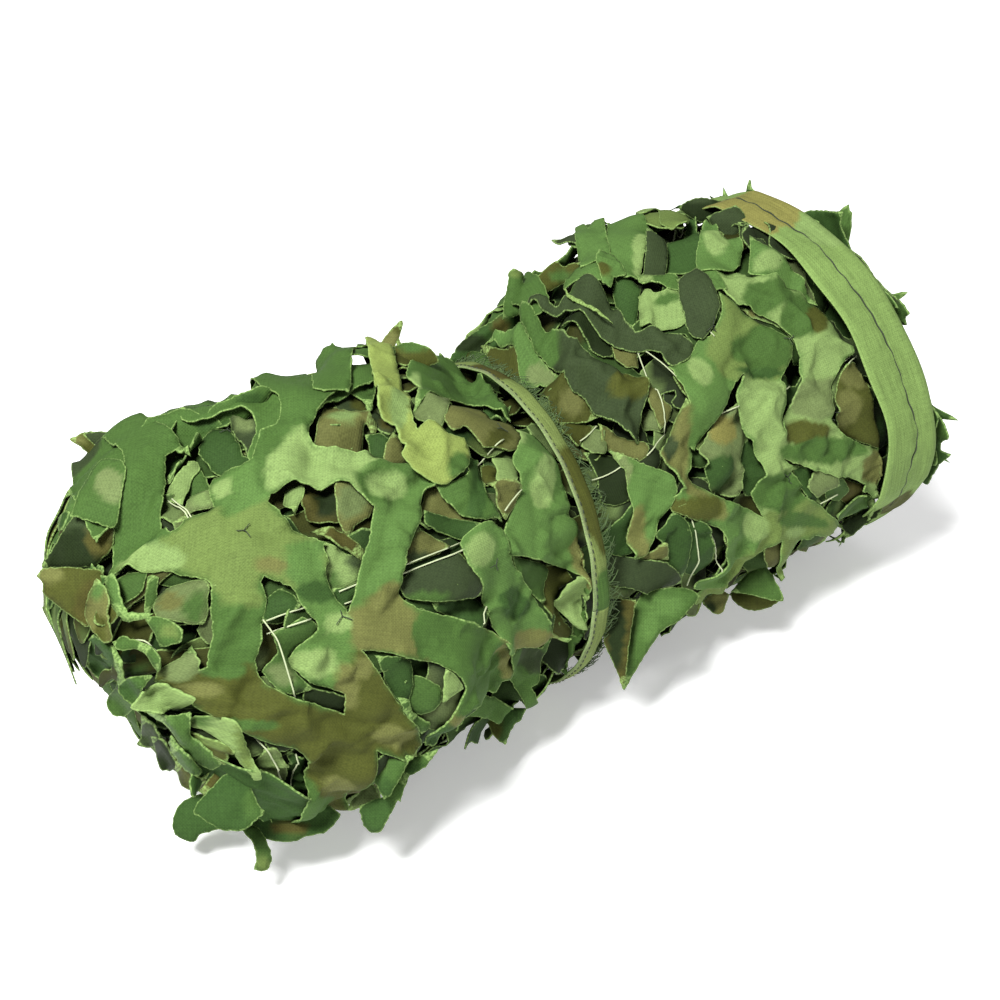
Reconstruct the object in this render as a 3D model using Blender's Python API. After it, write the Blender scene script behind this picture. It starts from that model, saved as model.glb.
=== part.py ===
"""Camouflage netting, rolled up: a leaf-cut net wound into a bundle, drawn in at its waist by a cloth tie.

The roll lies along X. A place on it is a station (mm along X, from the tie) and a bearing (degrees
round the roll: 0 faces -Y, 90 is the top, 180 is the back, -90 the underside).
"""
import bpy
import bmesh
import numpy as np
from mathutils import geometry

MM = 0.001
MIDDLE = (-10.4, -7.8)  # middle of the roll's box in X and Y, which the origin lies under
CLEARANCE = 1.0  # between the bands and the roll that they lie on
FLOOR_GAP = 1.0  # what hangs past the roll stops this far above the surface

# The roll's cross-sections. deep and tall are half sizes, across and up place the centre.
SECTIONS = (
    # station, deep, tall, across, up
    (-228, 58, 54, -11, 92),
    (-222, 74, 70, -11, 92),
    (-206, 88, 83, -12, 92),
    (-176, 99, 96, -14, 96),
    (-140, 105, 102, -16, 99),
    (-100, 103, 101, -15, 100),
    (-60, 95, 95, -12, 98),
    (-30, 89, 86, -12, 93),
    (-8, 87, 82, -12, 90),
    (12, 88, 82, -9, 90),
    (30, 96, 93, -5, 95),
    (60, 103, 101, 0, 99),
    (110, 108, 105, 2, 102),
    (160, 110, 107, 2, 104),
    (198, 111, 108, 2, 105),
    (214, 109, 106, 2, 105),
    (221, 96, 93, 2, 105),
)
# The end planes lean along the roll, most at the bearing.
LEANS = (
    # from_station, over, amount, bearing
    (-80, -150, -17, 110),
    (60, 150, 18, -83),
)
# Slack in the winding: ripples round the roll and along it.
RIPPLES = (
    # height, round, per_metre, phase
    (2.2, 3, 4.0, 0.4),
    (1.6, 5, -7.0, 1.9),
    (1.0, 8, 11.0, 3.1),
)
HELD_OVER = 40  # stations over which the ripples die out at the tie
RIM_HELD_OVER = 25  # and at the bound edge
SECTORS = 32
STATION_STEP = 24
WAIST_STATIONS = (-30, -19, -8, 2, 12, 30)  # the waist needs closer rings, so that it stays hollow
DISH = 16  # depth of each end face at its centre
DISH_POWER = 0.7
TURN_RIDGE = 5  # how far the wound layers stand out at the ends
TURNS = 2.0
END_RINGS = 6
CORE_SHARE = 0.09  # size of an end face's flat middle
TURN_WIDTH = 108.0  # radius that turns bearings into distances round the roll

# The cut leaves of the outer layer. Each is a hub with arms; body is the half width at the hub and
# level counts the cloths below it. An arm has its tip's place, its width there and how far it lifts.
LEAVES = (
    # station, bearing, body, level, arms: (station, bearing, width, lift)
    # near lobe, upper side
    (-190, 108, 20, 2, ((-217, 86, 8, 2), (-160, 118, 34, 0), (-192, 132, 7, 15))),
    (-178, 62, 22, 3, ((-116, 72, 40, 0), (-220, 84, 12, 3), (-206, 32, 34, 0), (-158, 44, 30, 10))),
    (-120, 96, 21, 2, ((-153, 74, 20, 0), (-160, 108, 20, 2), (-64, 96, 26, 0), (-104, 118, 26, 0))),
    (-50, 86, 13, 2, ((-84, 96, 22, 0), (-24, 80, 20, 0))),
    (-82, 74, 23, 4, ((-87, 95, 20, 4), (-74, 57, 38, 9))),
    (-166, 80, 15, 3, ((-176, 90, 16, 0), (-158, 70, 24, 3))),
    (-184, 86, 5, 3, ((-172, 94, 8, 3), (-194, 82, 8, 6))),
    (-70, 108, 17, 4, ((-86, 103, 12, 0), (-62, 124, 34, 6))),
    (-50, 112, 8, 3, ((-56, 104, 12, 0), (-25, 127, 4, 21))),
    (-38, 108, 11, 3, ((-56, 100, 12, 0), (-16, 122, 18, 5))),
    (-150, 124, 13, 2, ((-132, 120, 20, 0), (-178, 136, 10, 14))),
    (-128, 84, 15, 0, ((-140, 92, 18, 0), (-110, 82, 20, 0))),
    (-137, 57, 12, 1, ((-143, 67, 14, 0), (-132, 48, 16, 0))),
    # near lobe, front
    (-140, 30, 20, 3, ((-106, 60, 36, 0), (-162, 20, 10, 0), (-103, 2, 44, 0))),
    (-112, 34, 15, 1, ((-128, 38, 20, 0), (-100, 28, 24, 0))),
    (-84, 24, 23, 4, ((-93, 44, 42, 6), (-74, 0, 44, 2))),
    (-48, 38, 19, 3, ((-80, 27, 8, 0), (-32, 60, 32, 0), (-30, 14, 28, 0))),
    (-68, 42, 7, 4, ((-78, 60, 10, 3), (-57, 22, 5, 2))),
    (-52, 10, 11, 2, ((-64, 22, 10, 0), (-48, -4, 20, 0))),
    (-37, 2, 9, 3, ((-38, 13, 10, 2), (-36, -10, 8, 3))),
    (-110, -14, 15, 3, ((-92, 3, 26, 0), (-165, -34, 22, 0), (-86, -22, 22, 2))),
    (-182, 2, 25, 3, ((-222, 34, 38, 2), (-160, 28, 18, 0), (-143, -9, 30, 4), (-190, -37, 48, 0))),
    (-165, 30, 18, 4, ((-154, 40, 12, 0), (-178, 19, 36, 8))),
    # near lobe, open end
    (-228, 28, 11, 3, ((-214, 24, 20, 0), (-247, 20, 24, 6))),
    (-214, 62, 13, 1, ((-204, 58, 20, 0), (-226, 66, 18, 4))),
    (-222, 50, 10, 3, ((-226, 60, 12, 3), (-216, 38, 12, 2))),
    (-222, 98, 8, 3, ((-214, 112, 8, 2), (-224, 82, 5, 6))),
    (-228, 92, 15, 2, ((-214, 80, 18, 0), (-242, 96, 22, 12))),
    (-216, 10, 9, 2, ((-226, 22, 12, 5), (-210, -10, 12, 3))),
    (-214, -22, 22, 2, ((-200, -36, 20, 0), (-222, 0, 20, 2), (-238, -26, 16, 6))),
    (-228, -36, 14, 2, ((-214, -28, 16, 0), (-246, -46, 28, 12))),
    (-214, -42, 6, 3, ((-208, -30, 12, 0), (-214, -52, 12, 20))),
    (-200, -42, 16, 2, ((-184, -32, 24, 0), (-214, -52, 28, 6))),
    # near lobe, underneath the front
    (-160, -42, 13, 2, ((-176, -32, 20, 0), (-144, -55, 22, 11))),
    (-80, -34, 11, 2, ((-88, -20, 18, 0), (-62, -50, 14, 5))),
    # far lobe, upper side
    (32, 70, 22, 3, ((27, 98, 22, 2), (32, 42, 8, 4), (62, 64, 22, 3))),
    (58, 78, 14, 4, ((48, 100, 16, 3), (68, 53, 38, 5))),
    (88, 72, 13, 4, ((73, 66, 14, 3), (100, 80, 22, 9))),
    (107, 78, 15, 2, ((112, 88, 18, 2), (98, 60, 16, 4))),
    (100, 106, 19, 3, ((112, 90, 22, 0), (98, 121, 24, 2), (133, 111, 14, 3))),
    (145, 108, 15, 3, ((138, 95, 16, 0), (151, 122, 24, 4))),
    (40, 108, 9, 3, ((34, 97, 12, 0), (48, 121, 20, 3))),
    (86, 110, 5, 4, ((94, 102, 8, 0), (82, 119, 3, 3))),
    (152, 96, 14, 2, ((140, 88, 18, 0), (163, 104, 16, 0))),
    (132, 82, 17, 3, ((118, 96, 22, 0), (150, 71, 24, 0))),
    (127, 66, 13, 4, ((112, 70, 14, 0), (142, 56, 20, 3))),
    # far lobe, front
    (75, 46, 22, 2, ((77, 66, 26, 0), (58, 27, 16, 0), (99, 42, 20, 0))),
    (105, 52, 24, 4, ((100, 65, 16, 0), (107, 35, 42, 8))),
    (100, 17, 16, 3, ((95, 37, 34, 0), (107, -6, 28, 0))),
    (142, 38, 19, 3, ((150, 58, 34, 0), (126, 14, 30, 0))),
    (144, 8, 18, 4, ((120, 15, 28, 0), (163, 3, 30, 0))),
    (47, 26, 9, 2, ((44, 44, 16, 0), (56, 6, 10, 0))),
    (18, 31, 14, 3, ((6, 54, 10, 0), (38, 27, 16, 6), (15, 0, 8, 2))),
    (68, -2, 18, 3, ((62, 12, 22, 0), (88, 3, 18, 0), (50, -26, 20, 0))),
    (101, -14, 16, 4, ((128, -6, 32, 2), (76, -27, 24, 0))),
    (26, -18, 16, 3, ((10, -10, 18, 0), (42, -14, 20, 0), (19, -48, 4, 17))),
    (112, -30, 13, 3, ((106, -17, 18, 0), (127, -46, 6, 8))),
    (96, -34, 12, 2, ((88, -24, 22, 0), (105, -47, 26, 5))),
    (148, -22, 12, 2, ((134, -12, 18, 0), (163, -30, 18, 3))),
)
# Tips of inner leaves that stand out past the bound edge: same columns, one arm each.
RIM_TIPS = (
    (219, 72, 13, 0, ((232, 74, 20, 16),)),
    (219, 47, 10, 0, ((228, 45, 8, 14),)),
    (221, 6, 9, 0, ((231, 4, 5, 15),)),
    (221, -8, 6, 0, ((230, -12, 4, 12),)),
    (219, 118, 9, 0, ((228, 122, 5, 12),)),
    (219, 168, 12, 0, ((230, 172, 16, 10),)),
)
# Leaves on the back, which the winding leaves in an even scatter.
BACK_LEAVES = 16
BACK_SEED = 5
BACK_BEARINGS = (148, 236)
BACK_STATIONS = (-205, 165)
BACK_REACH = (30, 42)  # shortest and longest arm
BACK_WIDTH = (10, 30)
BACK_BODY = (13, 19)
BACK_LIFTS = (0, 0, 8)
BACK_SHIFT = 8  # how far a hub strays from its even place
BACK_TURN = 20  # degrees that an arm strays
BACK_WAIST = 34  # no hub lies nearer the tie than this
LEAF_STEP = 27  # spacing of a leaf's inner points
END_POINTS = 4  # across the end of a wide arm
SIDE_POINTS = 3  # along the arc between two arms
POINTED_UNDER = 9  # an arm narrower than this ends in a point
NARROW_UNDER = 21  # and one narrower than this has one point fewer
END_ROUNDING = 0.45  # length of an arm's round end, as a share of its width
LEAF_THICKNESS = 2.0
LEAF_ROOT = 7.0  # how far a leaf's underside is sunk in the roll
LIFT_START = 0.25  # share of an arm that stays down before it lifts
LIFT_POWER = 1.6
FREE_LIFT = 4  # an arm that lifts this far is a free sheet at its tip
FREE_START, FREE_FULL = 0.12, 0.52  # where along its lifting length it comes free
BAND_ROOM = 3.5  # between a leaf and a band
FIRST_LEVEL = 1.6
LEVEL_RISE = 1.9

# The tie: a folded cloth strip round the waist. It swings along the roll as it goes round.
TIE_WIDTH = 11
TIE_THICKNESS = 2.2
TIE_STATION = -8
TIE_SWING = 9
TIE_SWING_BEARING = -20

# The bound edge of the net, which ends up round the far rim.
BINDING_WIDTH = 38
BINDING_THICKNESS = 2.0
BINDING_STATION = 192.5
BINDING_ENDS = (-48, 222)  # bearings where it tucks in
BINDING_SEAM = 0.5  # depth of the groove that its stitching draws in
BINDING_CORNERS = 5  # in its section, with the groove
TIE_CORNERS = 4

GREEN = (0.22, 0.36, 0.13)
EDGE_GREEN = (0.30, 0.44, 0.19)
TIE_GREEN = (0.27, 0.36, 0.16)
CLOTH_ROUGHNESS = 0.85


def smooth(x, knots, values):
    """Values read at x from a smooth curve through the knots."""
    knots, values = np.asarray(knots, float), np.asarray(values, float)
    slopes = np.gradient(values, knots)
    i = np.clip(np.searchsorted(knots, x) - 1, 0, len(knots) - 2)
    width = knots[i + 1] - knots[i]
    t = np.clip((x - knots[i]) / width, 0, 1)
    rise = values[i + 1] - values[i]
    a = slopes[i] * width - rise
    b = rise - slopes[i + 1] * width
    return values[i] + t * rise + t * (1 - t) * (a * (1 - t) + b * t)


def section(station):
    """deep, tall, across and up at a station."""
    table = np.array(SECTIONS, float)
    return [smooth(station, table[:, 0], table[:, i]) for i in range(1, 5)]


def lean(station, bearing):
    """How far an end plane's lean moves a point along the roll."""
    moved = 0.0
    for start, over, amount, towards in LEANS:
        share = np.clip((station - start) / over, 0, 1)
        moved = moved + share * amount * np.cos(np.radians(bearing - towards))
    return moved


def ripple(station, bearing):
    """The slack of the winding, in mm; it dies out at the bands and where the roll's weight rests."""
    height = 0.0
    for size, round_it, per_metre, phase in RIPPLES:
        height = height + size * np.sin(
            np.radians(bearing) * round_it + 2 * np.pi * per_metre * station * MM + phase
        )
    held = np.clip(np.abs(station - TIE_STATION) / HELD_OVER, 0, 1)
    held = held * np.clip((BINDING_STATION - BINDING_WIDTH / 2 - station) / RIM_HELD_OVER, 0, 1)
    held = held * np.clip(2 + 2 * np.sin(np.radians(bearing)), 0, 1)
    return height * held


def place(station, bearing, out=0.0):
    """A point in mm: station and bearing on the roll, out above it."""
    station, bearing = np.asarray(station, float), np.asarray(bearing, float)
    deep, tall, across, up = section(station)
    angle = np.radians(bearing)
    out = out + ripple(station, bearing)
    # The roll's own outward direction, from its section's half sizes.
    normal_y, normal_z = -np.cos(angle) / deep, np.sin(angle) / tall
    length = np.hypot(normal_y, normal_z)
    return np.stack(
        [
            station + lean(station, bearing),
            across - deep * np.cos(angle) + out * normal_y / length,
            up + tall * np.sin(angle) + out * normal_z / length,
        ],
        -1,
    )


def mesh_object(name, points, faces, collection, color):
    mesh = bpy.data.meshes.new(name)
    mesh.from_pydata([tuple(p * MM) for p in points - (*MIDDLE, 0)], [], faces)
    made = bpy.data.objects.new(name, mesh)
    collection.objects.link(made)
    shade(made, color)
    return made


def shade(made, color):
    material = bpy.data.materials.new(made.name)
    material.use_nodes = True
    surface = material.node_tree.nodes["Principled BSDF"]
    surface.inputs["Base Color"].default_value = (*color, 1)
    surface.inputs["Roughness"].default_value = CLOTH_ROUGHNESS
    surface.inputs["Metallic"].default_value = 0.0
    made.data.materials.append(material)


def oriented(made):
    """The object with its mesh in triangles that face outwards."""
    kit = bmesh.new()
    kit.from_mesh(made.data)
    bmesh.ops.triangulate(kit, faces=kit.faces)
    bmesh.ops.recalc_face_normals(kit, faces=kit.faces)
    kit.to_mesh(made.data)
    kit.free()
    return made


def lofted(rings, closed, sectors):
    """Faces between rings of points, each face wound to look outwards."""
    faces = []
    for i in range(len(rings) - 1 + closed):
        here, there = i * sectors, (i + 1) % len(rings) * sectors
        for j in range(sectors):
            k = (j + 1) % sectors
            faces.append((here + j, here + k, there + k, there + j))
    return faces


# ---------------------------------------------------------------- the roll

def end_rings(station, side):
    """Rings from an end's rim in to its middle, with the wound layers' edge as a spiral ridge."""
    bearings = np.arange(SECTORS) * 360 / SECTORS
    rim = place(np.full(SECTORS, float(station)), bearings)
    middle = rim.mean(axis=0)
    rings = []
    for i in range(1, END_RINGS + 1):
        share = 1 - i / END_RINGS * (1 - CORE_SHARE)
        turn = TURNS * (1 - share) + bearings / 360
        ridge = TURN_RIDGE * np.cos(2 * np.pi * turn) * min(1, 3 * share)
        ring = middle + (rim - middle) * share
        ring[:, 0] -= side * (DISH * (1 - share) ** DISH_POWER - ridge)
        rings.append(ring)
    return rings


def roll_body(collection):
    stations = [row[0] for row in SECTIONS]
    inner = np.arange(stations[2], stations[-3], STATION_STEP)
    room = STATION_STEP / 3
    inner = inner[(inner < WAIST_STATIONS[0] - room) | (inner > WAIST_STATIONS[-1] + room)]
    stations = sorted({*stations[:2], *inner.tolist(), *WAIST_STATIONS, *stations[-3:]})
    bearings = np.arange(SECTORS) * 360 / SECTORS
    rings = [place(np.full(SECTORS, float(s)), bearings) for s in stations]
    rings = end_rings(stations[0], -1)[::-1] + rings + end_rings(stations[-1], 1)
    points = np.concatenate(rings)
    points[:, 2] = np.maximum(points[:, 2], 0)  # the flat spot that it rests on
    faces = lofted(rings, False, SECTORS)
    last = len(points) - SECTORS
    faces.append(tuple(range(SECTORS - 1, -1, -1)))
    faces.append(tuple(range(last, last + SECTORS)))
    return mesh_object("net_roll", points, faces, collection, GREEN)


# ---------------------------------------------------------------- the leaves

def unrolled(station, bearing):
    """A place on the roll as flat x and y in mm."""
    return np.array([station, np.radians(bearing) * TURN_WIDTH])


def tip_points(hub, tip, width):
    """Points across an arm's end, from its right side to its left: a point or a round end."""
    along = (tip - hub) / np.linalg.norm(tip - hub)
    across = np.array([-along[1], along[0]])
    if width < POINTED_UNDER:
        return [tip]
    steps = END_POINTS - (width < NARROW_UNDER)
    middle = tip - along * width * END_ROUNDING
    return [
        middle + width * (END_ROUNDING * np.cos(turn) * along + 0.5 * np.sin(turn) * across)
        for turn in np.linspace(-np.pi / 2, np.pi / 2, steps)
    ]


def leaf_outline(hub, body, arms):
    """The cut outline of a leaf, counter-clockwise: arm ends joined by arcs that pass the hub at body."""
    if len(arms) == 1:  # a lone lobe gets a short root on its other side
        reach = arms[0][0] - hub
        arms = [arms[0], (hub - reach * min(1, body / np.linalg.norm(reach)), 2 * body)]
    facing = [np.arctan2(tip[1] - hub[1], tip[0] - hub[0]) for tip, _ in arms]
    order = np.argsort(facing)
    ends = [tip_points(hub, *arms[i]) for i in order]
    outline = []
    for i, end in enumerate(ends):
        outline.extend(end)
        start = ends[(i + 1) % len(ends)][0]
        first, second = facing[order[i]], facing[order[(i + 1) % len(order)]]
        middle = first + ((second - first) % (2 * np.pi) or 2 * np.pi) / 2
        valley = hub + body * np.array([np.cos(middle), np.sin(middle)])
        pull = 2 * valley - (end[-1] + start) / 2
        for t in np.linspace(0, 1, SIDE_POINTS + 2)[1:-1]:
            outline.append((1 - t) ** 2 * end[-1] + 2 * t * (1 - t) * pull + t**2 * start)
    return np.array(outline)


def inside(points, outline):
    """Whether each point lies in the outline."""
    x, y = points[:, 0][:, None], points[:, 1][:, None]
    ax, ay = outline[:, 0], outline[:, 1]
    bx, by = np.roll(ax, -1), np.roll(ay, -1)
    crosses = (ay > y) != (by > y)
    at = ax + (y - ay) * (bx - ax) / np.where(by == ay, 1e-9, by - ay)
    return ((x < at) & crosses).sum(axis=1) % 2 == 1


def edge_distance(points, outline):
    """Each point's distance from the outline."""
    a, b = outline, np.roll(outline, -1, axis=0)
    span = b - a
    away = points[:, None] - a
    t = np.clip((away * span).sum(-1) / np.maximum((span**2).sum(-1), 1e-9), 0, 1)
    return np.linalg.norm(away - t[..., None] * span, axis=-1).min(axis=1)


def inner_points(outline, step):
    low, high = outline.min(axis=0), outline.max(axis=0)
    grid = np.stack(np.meshgrid(*[np.arange(low[i] + step / 2, high[i], step) for i in (0, 1)]), -1)
    grid = grid.reshape(-1, 2)
    grid = grid[inside(grid, outline)]
    return grid[edge_distance(grid, outline) > step * 0.4] if len(grid) else grid


def filled(outline, step):
    """Points and triangles of a flat leaf."""
    extra = inner_points(outline, step)
    points = np.concatenate([outline, extra]) if len(extra) else outline
    made = geometry.delaunay_2d_cdt(
        [tuple(p) for p in points], [], [list(range(len(outline)))], 1, 1e-4
    )
    return np.array([tuple(p) for p in made[0]]), [tuple(face) for face in made[2]]


def lifted(points, hub, arms):
    """How far each point of a leaf rises towards the tips that lift, and how free it is there."""
    rise = np.zeros(len(points))
    free = np.zeros(len(points))
    away = points - hub
    distance = np.linalg.norm(away, axis=1)
    for tip, lift in arms:
        reach = np.linalg.norm(tip - hub)
        along = away @ (tip - hub) / reach
        facing = np.clip(along / np.maximum(distance, 1e-6), 0, 1)
        share = np.clip((along / reach - LIFT_START) / (1 - LIFT_START), 0, 1.1) * facing**2
        rise += lift * share**LIFT_POWER
        free = np.maximum(free, share * (lift >= FREE_LIFT))
    return rise, np.clip((free - FREE_START) / (FREE_FULL - FREE_START), 0, 1)


def kept_clear(station, bearing, row_station):
    """Stations pulled back from the tie and the bound edge, so that no leaf runs into them."""
    waist = tie_station(bearing)
    room = TIE_WIDTH / 2 + BAND_ROOM
    rim = BINDING_STATION + BINDING_WIDTH / 2 + BAND_ROOM
    if row_station < TIE_STATION:
        return np.minimum(station, waist - room)
    if row_station < BINDING_STATION:
        return np.clip(station, waist + room, rim - BINDING_WIDTH - 2 * BAND_ROOM)
    return np.maximum(station, rim)


def leaf(name, row, collection):
    """One leaf as a closed solid whose middle is sunk in the roll and whose free tips are sheets."""
    station, bearing, body, level, arms = row
    hub = unrolled(station, bearing)
    tips = [unrolled(*arm[:2]) for arm in arms]
    outline = leaf_outline(hub, body, [(tip, arm[2]) for tip, arm in zip(tips, arms)])
    points, faces = filled(outline, LEAF_STEP)
    rise, free = lifted(points, hub, [(tip, arm[3]) for tip, arm in zip(tips, arms)])
    stations, bearings = points[:, 0], np.degrees(points[:, 1] / TURN_WIDTH)
    stations = kept_clear(stations, bearings, station)
    top = FIRST_LEVEL + LEVEL_RISE * level + rise
    under = top - LEAF_THICKNESS - (1 - free) * (top + LEAF_ROOT)
    upper, lower = place(stations, bearings, top), place(stations, bearings, under)
    upper[:, 2] = np.maximum(upper[:, 2], FLOOR_GAP + LEAF_THICKNESS)
    lower[:, 2] = np.maximum(lower[:, 2], FLOOR_GAP)
    return sheet_solid(name, upper, lower, faces, collection)


def sheet_solid(name, upper, lower, faces, collection):
    """A closed solid between two sheets with the same triangles."""
    edges = {edge for a, b, c in faces for edge in ((a, b), (b, c), (c, a))}
    rim = sorted(edge for edge in edges if edge[::-1] not in edges)
    n = len(upper)
    solid = [(a + n, b + n, c + n)[::-1] for a, b, c in faces] + list(faces)
    solid += [(b, a, a + n, b + n) for a, b in rim]
    made = mesh_object(name, np.concatenate([upper, lower]), solid, collection, GREEN)
    return oriented(made)


def back_rows():
    """Leaves for the back: a row for each, with two or three arms."""
    random = np.random.default_rng(BACK_SEED)
    start, stop = BACK_STATIONS
    low, high = BACK_BEARINGS
    rows = []
    for i in range(BACK_LEAVES):
        share = (i // 2 + 0.5) / (BACK_LEAVES // 2)
        station = start + (stop - start) * share + random.uniform(-BACK_SHIFT, BACK_SHIFT)
        if abs(station - TIE_STATION) < BACK_WAIST:
            station += (BACK_WAIST + 10) * np.sign(station - TIE_STATION)
        bearing = low + (high - low) * (0.25 + 0.5 * (i % 2)) + random.uniform(-BACK_SHIFT, BACK_SHIFT)
        turn = random.uniform(0, 360)
        count = 2 + i % 2
        arms = []
        for k in range(count):
            angle = np.radians(turn + k * 360 / count + random.uniform(-BACK_TURN, BACK_TURN))
            reach = random.uniform(*BACK_REACH)
            tip_bearing = bearing + np.degrees(reach * np.sin(angle) / TURN_WIDTH)
            arms.append(
                (
                    station + reach * np.cos(angle),
                    min(tip_bearing, high + 4),
                    random.uniform(*BACK_WIDTH),
                    random.choice(BACK_LIFTS),
                )
            )
        rows.append((station, bearing, random.uniform(*BACK_BODY), int(random.integers(1, 4)), arms))
    return rows


# ---------------------------------------------------------------- the bands

def tie_station(bearing):
    return TIE_STATION - TIE_SWING * np.cos(np.radians(bearing - TIE_SWING_BEARING))


def band_ring(station, bearing, width, thickness, groove=0.0):
    """The corner points of a band's section at a bearing, round its outline."""
    half = width / 2
    rows = [(-half, 0), (half, 0), (half, thickness)]
    if groove:
        rows.append((0, thickness - groove))
    rows.append((-half, thickness))
    return np.array([place(station + s, bearing, CLEARANCE + out) for s, out in rows])


def tie_band(collection):
    bearings = np.arange(SECTORS * 2) * 180 / SECTORS
    rings = [band_ring(tie_station(b), b, TIE_WIDTH, TIE_THICKNESS) for b in bearings]
    faces = lofted(rings, True, TIE_CORNERS)
    return oriented(mesh_object("tie_band", np.concatenate(rings), faces, collection, TIE_GREEN))


def edge_binding(collection):
    start, stop = BINDING_ENDS
    bearings = np.linspace(start, stop, int((stop - start) / 180 * SECTORS) + 1)
    rings = [
        band_ring(BINDING_STATION, b, BINDING_WIDTH, BINDING_THICKNESS, BINDING_SEAM) for b in bearings
    ]
    faces = lofted(rings, False, BINDING_CORNERS)
    last = (len(rings) - 1) * BINDING_CORNERS
    faces.append(tuple(range(BINDING_CORNERS)))
    faces.append(tuple(range(last + BINDING_CORNERS - 1, last - 1, -1)))
    return oriented(mesh_object("edge_binding", np.concatenate(rings), faces, collection, EDGE_GREEN))


# ---------------------------------------------------------------- build

def collection_of(name):
    made = bpy.data.collections.new(name)
    bpy.context.scene.collection.children.link(made)
    return made


def build():
    for old in list(bpy.data.objects):
        bpy.data.objects.remove(old, do_unlink=True)
    netting = collection_of("camouflage_netting")
    leaves = collection_of("leaf_solids")
    roll = oriented(roll_body(netting))
    for i, row in enumerate([*LEAVES, *RIM_TIPS, *back_rows()]):
        made = leaf(f"leaf_{i:02d}", row, leaves)
        made.hide_render = True
        made.display_type = "WIRE"
    leaves.hide_render = True
    union = roll.modifiers.new("leaves", "BOOLEAN")
    union.operation = "UNION"
    union.operand_type = "COLLECTION"
    union.collection = leaves
    union.solver = "EXACT"
    tie_band(netting)
    edge_binding(netting)


build()
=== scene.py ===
"""Looks of the rolled camouflage netting: its cut-cloth leaves, cord net, tie and sewn edge.

A place on the roll is its station, in mm along it, its bearing, in degrees round it from the
front and over the top, and how far out it is, in mm. Laid flat, the same place is x and y in mm.
The open end is at the low stations, and the sewn edge is round the far end.
"""
from collections import namedtuple

import bpy
import numpy as np
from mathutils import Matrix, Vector, geometry


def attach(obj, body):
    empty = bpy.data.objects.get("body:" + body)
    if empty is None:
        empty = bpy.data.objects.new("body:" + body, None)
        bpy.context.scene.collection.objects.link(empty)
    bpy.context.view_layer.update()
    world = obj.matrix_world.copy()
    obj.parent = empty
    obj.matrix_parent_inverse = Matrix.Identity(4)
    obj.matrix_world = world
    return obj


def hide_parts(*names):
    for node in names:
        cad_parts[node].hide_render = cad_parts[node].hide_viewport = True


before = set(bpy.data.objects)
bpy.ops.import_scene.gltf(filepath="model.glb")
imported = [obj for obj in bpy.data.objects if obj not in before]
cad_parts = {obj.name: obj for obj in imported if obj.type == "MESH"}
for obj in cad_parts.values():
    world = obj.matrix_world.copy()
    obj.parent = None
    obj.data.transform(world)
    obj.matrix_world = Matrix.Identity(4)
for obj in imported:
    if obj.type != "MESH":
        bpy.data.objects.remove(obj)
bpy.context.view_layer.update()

MM = 0.001
MIDDLE = (-10.4, -7.8)
TURN_WIDTH = 108.0
ROUND = 2 * np.pi * TURN_WIDTH
TINY = 1e-9  # keeps divisions by lengths from failing

# ---- the roll, as in the solids

SECTIONS = np.array(
    (
        # station, deep, tall, across, up
        (-228, 58, 54, -11, 92),
        (-222, 74, 70, -11, 92),
        (-206, 88, 83, -12, 92),
        (-176, 99, 96, -14, 96),
        (-140, 105, 102, -16, 99),
        (-100, 103, 101, -15, 100),
        (-60, 95, 95, -12, 98),
        (-30, 89, 86, -12, 93),
        (-8, 87, 82, -12, 90),
        (12, 88, 82, -9, 90),
        (30, 96, 93, -5, 95),
        (60, 103, 101, 0, 99),
        (110, 108, 105, 2, 102),
        (160, 110, 107, 2, 104),
        (198, 111, 108, 2, 105),
        (214, 109, 106, 2, 105),
        (221, 96, 93, 2, 105),
    ),
    float,
)
# each end leans: from station, over, by how much, towards which bearing
LEANS = ((-80, -150, -17, 110), (60, 150, 18, -83))
# height, waves round it, waves per metre along it, phase
RIPPLES = ((2.2, 3, 4.0, 0.4), (1.6, 5, -7.0, 1.9), (1.0, 8, 11.0, 3.1))
# stations over which the ripples die out, by the tie and by the binding
HELD_OVER = 40
RIM_HELD_OVER = 25
TIE_STATION = -8
TIE_SWING = 9
TIE_SWING_BEARING = -20
TIE_WIDTH = 11
TIE_ROOM = 0.8
BINDING_WIDTH = 38
BINDING_STATION = 192.5
BINDING_ENDS = (-48, 222)
BINDING_OVERLAP = 5
BAND_ROOM = 3.5
CLEARANCE = 1.0
DISH = 16
# where the roll's side ends, and where leaves turn over the bound end
OPEN_END = -229.0
FAR_END = 221
BOUND_END = 219.0
# what folds over an end turns in FOLD_OVER mm, and is FOLD_SAVING mm shorter for it
FOLD_PROBE = 10.0
FOLD_OVER = 3
FOLD_SAVING = 2.0
FLOOR_ROOM = 1.0


def smooth(x, knots, values):
    """Values read at x from a smooth curve through the knots."""
    slopes = np.gradient(values, knots)
    i = np.clip(np.searchsorted(knots, x) - 1, 0, len(knots) - 2)
    width = knots[i + 1] - knots[i]
    t = np.clip((x - knots[i]) / width, 0, 1)
    rise = values[i + 1] - values[i]
    a = slopes[i] * width - rise
    b = rise - slopes[i + 1] * width
    return values[i] + t * rise + t * (1 - t) * (a * (1 - t) + b * t)


def lean(station, bearing):
    """How far a place is moved along the roll where its ends lean."""
    moved = 0.0
    for start, over, amount, towards in LEANS:
        share = np.clip((station - start) / over, 0, 1)
        moved = moved + share * amount * np.cos(np.radians(bearing - towards))
    return moved


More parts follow.
